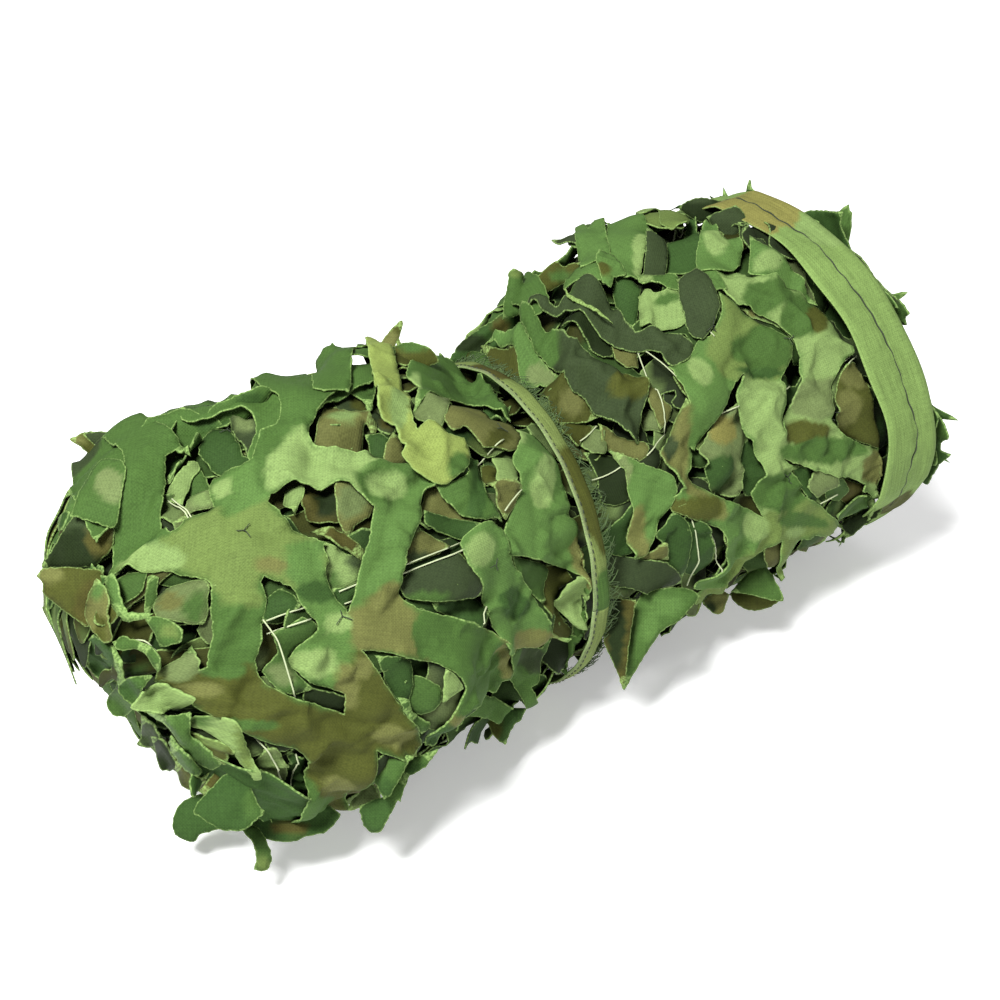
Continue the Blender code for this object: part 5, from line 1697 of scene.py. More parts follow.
# what stands off the roll
FLAPS = (
    Flap("upper_edge", "mid", (176, 434, -2),
        ((138, 430), (148, 417), (165, 414), (182, 407), (196, 412), (212, 416), (224, 424), (202, 438),
         (170, 442), (150, 438)), ((206, 424, 12, 7, "deep"),), ((150, 424, 214, 420, 1.6, 5),)),
    Flap("upper_edge_far", "mid", (238, 418, -2),
        ((204, 418), (214, 405), (228, 399), (245, 392), (262, 385), (274, 390), (264, 404), (242, 422),
         (220, 428)), ((250, 400, 14, 8, "deep"),), ((214, 412, 264, 392, 1.6, 5),)),
    Flap("neck_fold", "deep", (486, 344, -4),
        ((448, 362), (456, 348), (466, 338), (480, 328), (496, 318), (510, 308), (522, 318), (512, 336),
         (498, 348), (480, 356), (464, 364)), ((470, 344, 20, 9, "painted_shade"), (500, 326, 9, 8, "brown")),
        ((458, 352, 512, 314, 2.4, 3), (462, 358, 508, 330, -2.0, 3))),
    Flap("left_tip_dark", "dark", (114, 447, -2),
        ((83, 432), (100, 432), (118, 433), (131, 432), (141, 437), (132, 448), (116, 458), (101, 452),
         (92, 450), (86, 440))),
    Flap("left_tip_olive", "olive", (112, 452, -3),
        ((69, 439), (76, 436), (83, 432), (91, 441), (99, 447), (112, 452), (116, 462), (99, 459), (94, 458),
         (84, 450)), ((78, 440, 8, 6, "khaki"),)),
    Flap("thin_tip", "deep", (112, 478, -6),
        ((63, 499), (65, 495), (78, 486), (90, 477), (102, 470), (110, 482), (98, 490), (84, 496), (72, 496)),
        (), ((66, 496, 100, 474, 1.2, 3),)),
    Flap("left_dark", "dark", (110, 538, -2),
        ((110, 510), (114, 530), (113, 548), (104, 557), (95, 566), (80, 568), (62, 568), (42, 568),
         (41, 565), (50, 552), (60, 536), (66, 526), (74, 514), (82, 505), (98, 508)),
        ((76, 556, 42, 24, "painted_shade"), (100, 540, 14, 16, "brown")), ((64, 530, 60, 564, -1.4, 4),)),
    Flap("left_olive", "olive", (106, 562, -4),
        ((36, 576), (42, 568), (62, 567), (80, 568), (102, 570), (104, 590), (94, 606), (90, 628), (84, 626),
         (76, 620), (60, 608), (42, 594), (43, 583)), ((50, 574, 14, 8, "khaki"), (90, 604, 16, 26, "brown")),
        ((46, 584, 90, 592, 2.2, 7), (62, 568, 63, 580, -1.5, 3))),
    Flap("low_lobe", "deep", (226, 806, -3),
        ((206, 795), (195, 795), (186, 800), (178, 806), (174, 814), (172, 824), (174, 832), (180, 839),
         (190, 842), (195, 842), (200, 834), (210, 831), (226, 829), (232, 818), (222, 806)), (),
        ((186, 812, 190, 836, 1.5, 5),)),
    Flap("low_curl", "mid", (246, 812, -2),
        ((236, 824), (244, 832), (252, 840), (256, 850), (256, 860), (254, 869), (262, 872), (269, 870),
         (272, 860), (270, 848), (266, 838), (260, 830), (252, 824)), ((262, 864, 8, 8, "lime"),),
        ((252, 834, 263, 866, 2.0, 4),)),
    Flap("low_band", "deep", (290, 810, -4),
        ((242, 824), (256, 832), (268, 839), (280, 842), (292, 842), (299, 840), (307, 836), (326, 833),
         (336, 822), (342, 815), (330, 806), (300, 812), (270, 812)), ((290, 828, 20, 8, "brown"),),
        ((262, 828, 310, 832, 1.6, 6),)),
    Flap("dark_corner", "deep", (240, 786, 2),
        ((192, 812), (198, 802), (212, 787), (224, 775), (232, 768), (241, 770), (250, 778), (252, 790),
         (258, 803), (266, 812), (256, 820), (245, 830), (225, 831), (214, 827), (204, 820)),
        ((252, 806, 9, 16, "mid"),), ((206, 808, 250, 800, 1.6, 9), (226, 830, 252, 806, -1.6, 4))),
    Flap("brown_square", "brown", (216, 778, 1),
        ((200, 790), (211, 776), (222, 763), (234, 769), (222, 779), (205, 797)), (),
        ((208, 786, 226, 768, 1.6, 4),)),
    Flap("fall_green", "mid", (392, 764, -1),
        ((380, 752), (386, 757), (400, 758), (410, 755), (414, 757), (408, 763), (404, 772), (396, 786),
         (390, 797), (384, 799), (376, 786), (374, 778), (377, 768)),
        ((378, 762, 7, 10, "khaki"), (384, 790, 10, 14, "deep")), ((398, 760, 388, 792, 1.6, 5),)),
    Flap("fall_deep", "deep", (398, 772, -4),
        ((410, 760), (420, 755), (430, 752), (440, 748), (433, 757), (428, 765), (416, 772), (409, 776),
         (405, 788), (400, 802), (398, 800), (392, 812), (386, 822), (382, 831), (378, 833), (370, 832),
         (364, 826), (360, 814), (359, 806), (372, 800), (384, 796), (396, 780)),
        ((398, 792, 8, 18, "mid"), (424, 760, 14, 7, "mid")), ((406, 768, 386, 814, 1.8, 5),)),
    Flap("fall_pale", "sage", (366, 796, -3),
        ((370, 780), (381, 798), (378, 803), (362, 807), (348, 811), (350, 803), (358, 795))),
    Flap("low_olive_tip", "deep", (506, 712, -3),
        ((486, 720), (492, 733), (499, 741), (506, 745), (510, 733), (514, 724), (521, 721), (527, 708),
         (506, 708), (494, 714)), ((494, 728, 9, 14, "olive"),), ((514, 712, 502, 742, 1.6, 4),)),
    Flap("wedge_dark", "brown", (622, 606, -1),
        ((604, 640), (612, 661), (617, 672), (622, 688), (626, 678), (630, 640), (636, 600), (616, 598),
         (608, 618)), ((616, 630, 10, 40, "painted_shade"),)),
    Flap("wedge_green", "mid", (650, 600, 0),
        ((624, 691), (622, 686), (625, 660), (628, 638), (633, 612), (642, 592), (664, 588), (688, 588),
         (702, 596), (692, 606), (680, 620), (664, 629), (652, 645), (640, 664)),
        ((664, 606, 18, 10, "soft"), (650, 626, 9, 16, "soft")),
        ((640, 600, 630, 670, 1.4, 6), (690, 592, 650, 640, 1.2, 6))),
    Flap("small_tip_a", "olive", (690, 602, -3),
        ((684, 604), (692, 617), (698, 612), (701, 602), (694, 596))),
    Flap("small_tip_b", "khaki", (716, 596, -4),
        ((702, 602), (710, 611), (716, 614), (722, 614), (726, 604), (730, 594), (722, 590), (708, 596)),
        ((710, 608, 7, 8, "painted_shade"),)),
    Flap("round_olive", "olive", (756, 590, -3),
        ((729, 594), (736, 604), (745, 609), (755, 611), (768, 608), (777, 603), (782, 598), (770, 588),
         (750, 586), (735, 588)), (), ((738, 598, 774, 598, 1.5, 6),)),
    Flap("green_triangle", "mid", (760, 580, -1),
        ((731, 592), (745, 576), (762, 559), (769, 570), (777, 583), (783, 597), (783, 602), (776, 601),
         (760, 597), (745, 594)), (), ((762, 564, 756, 594, 1.5, 6),)),
    Flap("black_low", "painted_shade", (864, 514, -4),
        ((836, 526), (845, 531), (845, 538), (852, 536), (860, 529), (880, 514), (884, 504), (866, 508))),
    Flap("top_peak", "khaki", (386, 358, 0),
        ((374, 352), (384, 338), (394, 326), (402, 319), (403, 324), (399, 338), (394, 348), (390, 362),
         (378, 366)), ((398, 326, 7, 10, "olive"),)),
    Flap("top_curl", "olive", (410, 364, 0),
        ((378, 368), (384, 356), (393, 347), (408, 342), (424, 345), (436, 354), (440, 362), (424, 368),
         (408, 371), (392, 374)), ((414, 346, 18, 5, "mid"),), ((394, 360, 428, 356, 2.0, 5),)),
    Flap("funnel", "mid", (516, 306, 0),
        ((502, 320), (504, 302), (507, 285), (509, 272), (514, 268), (521, 271), (525, 276), (522, 282),
         (532, 288), (541, 297), (528, 306), (516, 316)), ((517, 273, 8, 5, "lime"),),
        ((512, 276, 510, 312, 3.0, 5),)),
    Flap("far_crumple", "olive", (556, 284, -4),
        ((530, 284), (540, 274), (548, 266), (556, 260), (562, 267), (572, 263), (584, 262), (578, 276),
         (564, 284), (548, 292), (540, 294)), ((560, 276, 12, 6, "mid"),), ((548, 268, 556, 288, 1.8, 3),)),
    Flap("black_top", "painted_shade", (708, 212, -3),
        ((678, 208), (688, 201), (700, 197), (716, 200), (737, 204), (741, 210), (728, 216), (712, 222),
         (700, 222), (688, 216)), ((700, 200, 12, 4, "dark"),), ((690, 206, 730, 210, 1.4, 4),)),
    Flap("dark_by_edge", "dark", (726, 222, 0),
        ((706, 217), (720, 211), (736, 205), (744, 213), (747, 224), (738, 234), (726, 239), (714, 229)), (),
        ((712, 218, 738, 226, 1.4, 5),)),
    Flap("grey_by_edge", "dark", (744, 232, -1),
        ((738, 222), (748, 222), (752, 234), (746, 244), (740, 238)), ((744, 226, 5, 5, "painted_shade"),)),
)
# the right lobe
FAR_NET = (
    Piece("centre_leaf", "soft", 2.6,
        ((668, 366), (682, 361), (694, 350), (698, 340), (712, 336), (730, 343), (740, 360), (737, 376),
         (732, 392), (724, 412), (714, 430), (704, 450), (698, 440), (690, 420), (681, 402), (676, 384)),
        ((700, 372, 14, 16, "pale"),), ((690, 360, 706, 436, 1.8, 8),)),
    Piece("cup", "lime", 2.6,
        ((716, 297), (724, 301), (738, 305), (752, 312), (766, 319), (780, 327), (792, 334), (797, 345),
         (796, 356), (791, 368), (785, 380), (766, 382), (752, 384), (743, 373), (737, 382), (730, 376),
         (718, 372), (708, 352), (710, 335), (718, 320)),
        ((767, 345, 28, 24, "mid"), (766, 370, 24, 6, "deep")),
        ((744, 364, 790, 368, -1.8, 5), (750, 326, 786, 350, 1.8, 10))),
    Piece("under_binding", "pale", 2.6,
        ((716, 268), (724, 264), (742, 262), (752, 268), (766, 274), (784, 281), (800, 290), (822, 300),
         (840, 320), (856, 342), (860, 352), (850, 360), (844, 372), (820, 380), (803, 350), (796, 334),
         (784, 322), (768, 312), (752, 304), (738, 301), (726, 290)),
        ((768, 294, 26, 17, "mid"), (806, 312, 20, 22, "mid"), (820, 316, 12, 16, "olive")),
        ((740, 280, 836, 330, 1.6, 9),)),
    Piece("right_leaf", "pale", 2.6,
        ((798, 330), (805, 350), (804, 372), (801, 396), (794, 414), (785, 428), (789, 440), (785, 452),
         (790, 461), (804, 466), (822, 472), (842, 478), (858, 482), (870, 487), (864, 492), (876, 500),
         (886, 500), (894, 478), (899, 458), (888, 452), (874, 448), (860, 442), (846, 434), (840, 424),
         (835, 411), (839, 394), (841, 380), (846, 366), (854, 352), (840, 330), (820, 320)),
        ((822, 398, 24, 24, "sage"), (812, 434, 20, 13, "olive"), (830, 452, 44, 14, "mid"),
         (882, 470, 14, 20, "khaki"), (852, 470, 16, 6, "pale")),
        ((794, 420, 836, 421, -1.8, 3), (800, 452, 880, 476, 1.8, 10), (826, 340, 812, 400, 1.4, 9))),
    Piece("pale_down", "pale", 2.6,
        ((744, 376), (760, 378), (786, 378), (790, 386), (788, 404), (785, 428), (791, 445), (789, 460),
         (797, 472), (803, 486), (809, 498), (800, 516), (782, 522), (768, 522), (762, 508), (757, 497),
         (761, 488), (765, 474), (765, 460), (760, 446), (753, 432), (746, 412), (741, 396)),
        ((786, 492, 34, 20, "mid"),), ((762, 390, 774, 470, 1.6, 9), (766, 504, 800, 482, 1.4, 6))),
    Piece("band_low", "lime", 2.6,
        ((768, 520), (778, 510), (790, 503), (802, 498), (816, 502), (829, 513), (838, 523), (834, 532),
         (818, 538), (802, 546), (790, 556), (783, 568), (780, 588), (777, 572), (779, 555), (782, 541),
         (772, 546), (762, 555), (752, 568), (742, 580), (732, 590), (718, 596), (704, 602), (695, 604),
         (695, 597), (706, 590), (720, 578), (735, 562), (750, 543)),
        ((806, 524, 22, 8, "mid"), (800, 536, 12, 5, "pale")),
        ((772, 524, 830, 518, -1.8, 5), (764, 536, 724, 584, 1.6, 6))),
    Piece("mid_low", "soft", 2.6,
        ((712, 494), (726, 499), (748, 509), (769, 521), (764, 536), (742, 558), (728, 574), (716, 588),
         (700, 592), (694, 588), (704, 580), (714, 570), (725, 562), (722, 546), (720, 530), (704, 524),
         (690, 518), (677, 512), (680, 497), (690, 488)),
        ((694, 510, 26, 12, "olive"), (758, 528, 16, 12, "pale")), ((724, 516, 742, 540, 1.6, 8),)),
    Piece("khaki_strip", "khaki", 2.6,
        ((679, 402), (688, 414), (696, 430), (701, 448), (698, 464), (694, 474), (702, 484), (716, 495),
         (724, 502), (722, 518), (714, 518), (704, 505), (692, 490), (680, 476), (668, 460), (662, 452),
         (672, 440), (677, 425)), ((674, 446, 6, 14, "dark"), (712, 506, 10, 10, "olive")),
        ((682, 420, 690, 462, 1.6, 5), (672, 452, 712, 506, -1.8, 4))),
)
FAR_BITS = (
    Piece("grey_leaf_far", "dark", 3.4,
        ((523, 309), (540, 318), (560, 327), (572, 334), (584, 337), (592, 343), (602, 352), (616, 361),
         (630, 362), (642, 369), (651, 381), (652, 392), (649, 404), (648, 422), (646, 441), (634, 437),
         (618, 425), (604, 414), (592, 402), (578, 388), (564, 376), (552, 362), (540, 348), (529, 334),
         (521, 326), (520, 318)), ((534, 334, 27, 32, "mid"), (634, 378, 22, 17, "olive")),
        ((535, 320, 630, 420, 1.8, 12), (610, 410, 646, 398, -1.8, 5))),
    Piece("grey_band", "dark", 3.6,
        ((526, 312), (530, 303), (540, 299), (550, 304), (558, 304), (566, 297), (573, 285), (584, 283),
         (598, 287), (610, 295), (620, 308), (632, 320), (642, 325), (655, 325), (670, 330), (684, 333),
         (697, 340), (698, 348), (688, 358), (673, 364), (668, 358), (660, 348), (648, 342), (632, 341),
         (616, 335), (600, 327), (584, 318), (572, 314), (556, 312), (540, 313)), ((566, 288, 7, 6, "mid"),),
        ((540, 306, 690, 346, 2.2, 5), (580, 300, 640, 330, -1.4, 4))),
    Piece("streak", "lime", 4.6,
        ((564, 283), (570, 292), (580, 301), (596, 309), (616, 317), (598, 312), (578, 304), (567, 294))),
    Piece("grey_oval", "dark", 3.6,
        ((678, 276), (688, 270), (696, 267), (706, 274), (712, 286), (718, 298), (720, 308), (716, 322),
         (709, 333), (698, 331), (690, 322), (686, 308), (680, 294)), (), ((690, 276, 708, 326, 2.2, 6),)),
    Piece("khaki_point", "soft", 2.6,
        ((613, 447), (622, 452), (638, 460), (655, 466), (670, 472), (678, 480), (682, 492), (680, 503),
         (674, 515), (668, 528), (660, 540), (650, 552), (640, 560), (636, 561), (634, 548), (634, 530),
         (635, 510), (630, 495), (626, 478), (620, 462)),
        ((642, 534, 14, 24, "khaki"), (622, 466, 8, 20, "sage")), ((640, 470, 650, 540, 2.0, 9),)),
    Piece("beside_grey", "soft", 1.6,
        ((481, 350), (490, 342), (505, 333), (520, 326), (530, 336), (540, 348), (552, 362), (562, 374),
         (545, 378), (522, 380), (518, 368), (516, 354), (508, 346), (495, 346)),
        ((540, 366, 16, 12, "sage"),), ((500, 338, 550, 372, 1.8, 8),)),
    Piece("green_cup", "deep", 1.0,
        ((613, 277), (622, 275), (634, 279), (641, 284), (641, 300), (639, 317), (630, 312), (620, 300),
         (614, 290))),
    Piece("crumple_a", "pale", 2.6,
        ((640, 290), (646, 284), (660, 290), (672, 288), (680, 296), (685, 310), (689, 322), (676, 326),
         (660, 324), (641, 323)), ((668, 298, 12, 6, "mid"),),
        ((646, 290, 676, 300, -2.6, 4), (650, 316, 684, 312, 2.2, 5))),
    Piece("crumple_b", "mid", 3.2,
        ((636, 270), (650, 270), (672, 275), (682, 282), (684, 292), (672, 288), (656, 281), (642, 281)),
        ((646, 274, 8, 6, "pale"),)),
    Piece("dark_patch_top", "dark", 2.6,
        ((646, 224), (656, 226), (664, 236), (669, 247), (668, 262), (684, 268), (686, 276), (668, 278),
         (654, 270), (643, 266), (646, 246))),
    Piece("light_top", "soft", 2.2,
        ((606, 232), (620, 226), (636, 222), (651, 223), (645, 246), (641, 266), (626, 269), (616, 262),
         (610, 248)), ((640, 250, 7, 20, "pale"),), ((624, 230, 630, 262, 1.8, 6),)),
    Piece("top_points", "soft", 2.2,
        ((580, 238), (588, 228), (594, 221), (604, 222), (608, 216), (612, 227), (606, 233), (612, 250),
         (602, 252), (590, 258), (580, 262), (577, 250))),
    Piece("top_cup", "soft", 3.0,
        ((596, 258), (604, 250), (614, 252), (623, 262), (627, 269), (614, 274), (612, 282), (602, 281),
         (598, 270)), ((604, 270, 8, 8, "olive"),)),
    Piece("upper_mid", "soft", 1.4,
        ((572, 270), (584, 262), (594, 260), (600, 275), (606, 286), (590, 289), (575, 284), (562, 285),
         (566, 276))),
    Piece("bright_a", "pale", 2.4,
        ((635, 215), (642, 204), (656, 202), (665, 208), (658, 214), (648, 221), (640, 222))),
    Piece("bright_b", "lime", 2.6,
        ((660, 213), (672, 204), (680, 206), (689, 212), (687, 222), (672, 229), (660, 225)), (),
        ((664, 218, 686, 212, 2.0, 4),)),
    Piece("pale_by_edge", "soft", 2.4,
        ((700, 236), (704, 226), (712, 221), (722, 234), (736, 238), (743, 246), (742, 257), (730, 265),
         (714, 267), (698, 267), (697, 250)), ((716, 240, 12, 10, "pale"),), ((706, 232, 736, 258, 1.6, 6),)),
    Piece("stripes", "deep", 0.4,
        ((667, 241), (684, 232), (703, 223), (701, 240), (698, 263), (684, 265), (667, 263)), (),
        ((670, 246, 700, 243, 2.0, 3), (670, 258, 700, 257, -1.8, 3))),
    Piece("edge_strip", "soft", 2.2,
        ((748, 244), (760, 249), (778, 253), (792, 262), (804, 276), (826, 300), (808, 292), (786, 281),
         (767, 273), (752, 265)), ((768, 262, 14, 7, "pale"),)),
    Piece("under_cup", "soft", 1.0, ((700, 266), (714, 266), (723, 277), (728, 289), (714, 291), (707, 280))),
    Piece("grey_by_edge", "dark", 1.4,
        ((750, 235), (764, 239), (775, 247), (784, 256), (768, 253), (753, 246))),
)
FAR_UNDER = (
    Piece("crescent", "pale", 0.6,
        ((742, 301), (760, 303), (778, 311), (792, 321), (804, 335), (804, 352), (799, 345), (789, 331),
         (775, 321), (757, 313)), ((760, 308, 14, 5, "khaki"),)),
    Piece("khaki_hole", "khaki", -0.8,
        ((610, 335), (626, 339), (637, 343), (642, 363), (628, 363), (617, 353))),
    Piece("hole_grey", "painted_shade", -1.6,
        ((560, 318), (584, 320), (612, 334), (616, 350), (600, 350), (580, 338), (562, 328))),
    Piece("khaki_a", "khaki", 0.8,
        ((600, 420), (612, 424), (630, 434), (647, 441), (651, 446), (647, 456), (640, 461), (622, 452),
         (613, 447), (604, 438))),
    Piece("olive_tie", "olive", 0.2,
        ((540, 384), (556, 379), (568, 379), (580, 390), (594, 402), (605, 412), (590, 416), (575, 419),
         (560, 420), (552, 408), (543, 396)), ((574, 398, 14, 12, "khaki"),),
        ((556, 386, 596, 410, 1.8, 6),)),
    Piece("olive_tie_low", "olive", -0.6,
        ((560, 421), (578, 418), (596, 416), (601, 422), (588, 433), (578, 446), (567, 438))),
    Piece("olive_fray", "olive", 0.4,
        ((482, 352), (496, 347), (508, 345), (517, 352), (520, 366), (521, 381), (508, 377), (492, 365))),
    Piece("shaded", "sage", 1.0,
        ((702, 452), (712, 434), (722, 418), (734, 406), (745, 401), (751, 412), (755, 424), (753, 437),
         (745, 460), (743, 480), (741, 495), (724, 497), (712, 493), (708, 475), (704, 462)),
        ((722, 476, 18, 20, "deep"), (728, 430, 16, 14, "straw")), ((712, 444, 748, 430, -1.8, 5),)),
    Piece("shaded_right", "deep", -0.6,
        ((752, 434), (759, 444), (764, 458), (763, 477), (757, 496), (747, 497), (743, 480), (746, 458))),
    Piece("brown_folds", "olive", -1.2,
        ((844, 366), (856, 361), (864, 367), (880, 391), (891, 410), (900, 428), (901, 446), (886, 449),
         (868, 445), (849, 437), (841, 420), (838, 400), (840, 380)),
        ((856, 376, 14, 12, "khaki"), (850, 410, 10, 22, "khaki"), (880, 420, 9, 22, "olive")),
        ((844, 386, 856, 438, 2.4, 3), (862, 392, 874, 444, 2.2, 3), (884, 400, 878, 444, -2.2, 3),
         (856, 386, 868, 420, -1.8, 3))),
    Piece("hole_pale_far", "sage", -0.6,
        ((810, 489), (814, 476), (822, 470), (836, 475), (840, 485), (828, 491), (819, 500))),
    Piece("hole_mid_far", "mid", -1.0,
        ((828, 478), (846, 480), (852, 492), (840, 502), (828, 500), (824, 488))),
    Piece("hole_brown_far", "brown", -1.4, ((844, 482), (870, 486), (862, 496), (846, 504), (838, 498))),
    Piece("hole_shade_far", "deep", -1.8,
        ((796, 466), (816, 470), (812, 490), (826, 506), (812, 506), (802, 488))),
    Piece("low_right", "mid", 1.6,
        ((834, 513), (848, 503), (864, 495), (876, 500), (872, 507), (852, 514), (836, 522))),
    Piece("grey_low", "dark", 0.6,
        ((610, 562), (620, 557), (640, 561), (660, 561), (672, 566), (682, 578), (685, 587), (664, 589),
         (645, 591), (630, 589), (616, 591))),
    Piece("green_strings_a", "deep", -0.4,
        ((660, 536), (671, 522), (678, 513), (689, 520), (693, 540), (689, 562), (687, 582), (676, 573),
         (665, 555))),
    Piece("green_strings_b", "deep", -0.8,
        ((690, 518), (707, 524), (713, 545), (713, 570), (700, 582), (689, 576))),
    Piece("by_tie_low", "deep", -0.2,
        ((604, 533), (616, 520), (629, 503), (635, 511), (635, 540), (633, 561), (618, 557), (606, 549))),
    Piece("by_tie_shade", "painted_shade", -1.8,
        ((584, 452), (604, 449), (619, 452), (628, 480), (631, 500), (616, 506), (602, 502), (598, 475))),
    Piece("by_tie_pale", "sage", 0.0,
        ((583, 441), (596, 423), (605, 430), (609, 447), (606, 453), (590, 453))),
    Piece("gap_sage", "sage", -0.6,
        ((647, 404), (657, 401), (665, 412), (672, 424), (669, 431), (654, 425), (649, 420))),
    Piece("gap_khaki", "khaki", -0.6,
        ((650, 382), (656, 377), (664, 384), (672, 396), (680, 402), (679, 416), (672, 425), (663, 408),
         (655, 394))),
    Piece("olive_corner", "khaki", 0.0,
        ((650, 552), (660, 540), (668, 552), (672, 562), (655, 562), (640, 561))),
)
# ends in photo pixels; a doubled cord is two rows
STRINGS = (
    ((168, 498), (197, 534)), ((172, 500), (203, 536)), ((228, 414), (280, 405)), ((264, 622), (302, 609)),
    ((270, 633), (306, 620)), ((262, 620), (276, 640), (284, 668), (291, 696)),
    ((256, 738), (272, 760), (284, 786), (293, 806)), ((298, 756), (297, 780), (290, 804)),
    ((402, 566), (466, 541)), ((403, 574), (466, 548)), ((502, 512), (524, 486)), ((484, 456), (500, 446)),
    ((582, 438), (604, 417)), ((592, 480), (624, 464)), ((646, 456), (674, 431)),
    ((636, 342), (652, 376), (672, 430)), ((640, 342), (660, 366), (682, 402)),
    ((672, 325), (692, 326), (710, 342)), ((668, 240), (708, 221)), ((846, 364), (864, 354)),
    ((848, 360), (862, 351)), ((786, 390), (804, 381)), ((722, 413), (746, 403)), ((818, 502), (834, 492)),
    ((690, 518), (686, 584)), ((706, 524), (712, 576)), ((124, 637), (142, 638), (160, 646)),
    ((476, 628), (486, 606)), ((338, 592), (362, 582)), ((344, 604), (358, 599)),
)
# station, bearing, turn in degrees
STITCHES = (
    (-175, 63, 20), (-158, 33, 80), (-80, 27, 40), (112, 8, 10), (95, 58, 60), (62, -30, 30), (-150, 96, 50),
    (-40, 64, 70), (140, 46, 30), (150, 20, 15),
)

# ---- the sewn edge and the tie

BAND_CLOTH = 0.9
BINDING_DYE = srgb("96b672") * DYE
BINDING_HEM = 5.0
BINDING_OUT = 1.8
BINDING_STEP = 1.2
SEAM_STEP = 0.9
# where the binding lies closer: how much, then bearings and shares of it
BINDING_TUCKS = ((7, (97, 108, 150, 175), (0, 1, 1, 0)), (8, (-48, -34, -12), (1, 1, 0)))
# patches as station, bearing, half sizes in mm and tone
BINDING_PATCHES = (
    (190, 89, 40, 25, "straw"), (207, 71, 14, 13, "pale"), (196, -28, 26, 18, "olive"),
    (190, 150, 30, 16, "olive"), (200, 190, 30, 24, "mid"),
)
TIE_DYE = srgb("8fa366") * DYE
TIE_RIM = srgb("95a676") * 0.42
TIE_RIM_WIDTH = 1.7
TIE_OUT = 1.0
TIE_PATCHES = (
    (-8, 40, 14, 36, "olive"), (-8, 4, 14, 22, "mid"), (-2, 100, 12, 18, "brown"), (-8, 200, 14, 40, "olive"),
    (-14, -35, 12, 30, "deep"),
)
SEAM_THREAD = 0.45
TIE_THREAD = 0.32
TIE_STITCH_EVERY = 2.6
TIE_STITCH = 1.2
FRAY_EVERY = 0.55
FRAY_THREAD = 0.2
FRAY_LENGTHS = (2.0, 8.5)


def binding_seam(bearing):
    """How far from the middle the sewn line runs."""
    turn = np.radians(bearing)
    return 0.8 + 1.3 * np.sin(turn * 3 + 0.4) + 0.5 * np.sin(turn * 17)


def binding_place(s, b):
    """Where a point of the binding is, from how far it is across the binding and its bearing."""
    half = BINDING_WIDTH / 2
    turn = np.radians(b)
    seam = 0.9 * np.exp(-(((s - binding_seam(b)) / 0.9) ** 2))
    pucker = 0.4 * np.sin(turn * 61) * np.exp(-((s / 4) ** 2))
    wave = 0.8 * np.sin(turn * 7 + 1) + 0.5 * np.sin(turn * 13 + s / 9)
    hem = 0.6 / (1 + np.exp((s + half - BINDING_HEM) * 4))
    roll = 0.8 * (np.abs(s) / half) ** 4
    shift = 1.2 * np.sin(turn * 5 + 0.6) + 0.8 * np.sin(turn * 11)
    for depth, bearings, shares in BINDING_TUCKS:
        wave = wave - depth * np.interp(b, bearings, shares)
    return BINDING_STATION + s + shift, b, CLEARANCE + BINDING_OUT + wave - seam + pucker - roll + hem


def binding_tint(flat, s, b):
    """The binding's colour, a little paler on its folded hem."""
    colour = np.tile(BINDING_DYE, (len(s), 1))
    colour[s < BINDING_HEM - BINDING_WIDTH / 2] *= 1.12
    return patched(colour, flat, BINDING_PATCHES, np.random.default_rng(5))


def tie_place(s, b):
    """Where a point of the tie is, from how far it is across the tie and its bearing."""
    half = TIE_WIDTH / 2
    turn = np.radians(b)
    fold = 1.1 * np.cos(s / half * np.pi / 2)
    rim = 0.5 * np.exp(-(((s + half - 1.2) / 0.9) ** 2))
    twist = 0.35 * np.sin(turn * 9 + s * 0.3) + 0.25 * np.sin(turn * 23)
    return tie_station(b) + s, b, CLEARANCE + TIE_OUT + fold + rim + twist


def tie_tint(flat, s, b):
    """The tie's colour, with its pale rim."""
    colour = patched(np.tile(TIE_DYE, (len(s), 1)), flat, TIE_PATCHES, np.random.default_rng(6))
    return mixed(colour, TIE_RIM, (-TIE_WIDTH / 2 + TIE_RIM_WIDTH - s) / 0.6)


def bands():
    """The sewn edge and the tie, with their sewing and the threads that fray from the tie."""
    half = BINDING_WIDTH / 2
    across = np.concatenate([[-half], np.arange(-half + 1.2, half - 1, 1.9), [half - 1.2, half]])
    start, stop = BINDING_ENDS
    along = np.arange(start, stop + 0.1, BINDING_STEP)
    sheets, binding = strip("sewn_edge", binding_cloth, across, along, binding_place, binding_tint)
    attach(binding, "root")
    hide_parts("edge_binding")
    seams = Tubes()
    path = np.arange(start + 1, stop - 1, SEAM_STEP)
    at = binding_place(binding_seam(path), path)
    seams.add(place(at[0], at[1], at[2] + 0.35), SEAM_THREAD, 4)

    half = TIE_WIDTH / 2
    across, along = np.linspace(-half, half, 9), np.arange(0, 360.1, 1.2)
    sheets, tie = strip("waist_tie", tie_cloth, across, along, tie_place, tie_tint)
    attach(tie, "root")
    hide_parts("tie_band")
    for b in np.arange(0, 360, TIE_STITCH_EVERY):
        at = tie_place(np.full(3, -half + 1.9), np.linspace(b, b + TIE_STITCH, 3))
        seams.add(place(at[0], at[1], at[2] + 0.25), TIE_THREAD, 4)
    seams = seams.finish("sewing", thread_look)
    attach(seams, "root")

    random = np.random.default_rng(31)
    frays = Tubes()
    along = np.linspace(0, 1, 5)
    for b in np.arange(0, 360, FRAY_EVERY):
        long, slant, rise = random.uniform(*FRAY_LENGTHS), random.uniform(-5, 5), random.uniform(-0.5, 3.0)
        at = tie_place(np.full(5, half - 0.4), b + slant * along**1.5 + random.uniform(-0.5, 0.5))
        out = at[2] + rise * along - 1.2 * along**2
        frays.add(place(at[0] + long * along, at[1], out), FRAY_THREAD, 3)
    frays = frays.finish("frayed_threads", fray_look)
    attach(frays, "root")


# ---- build

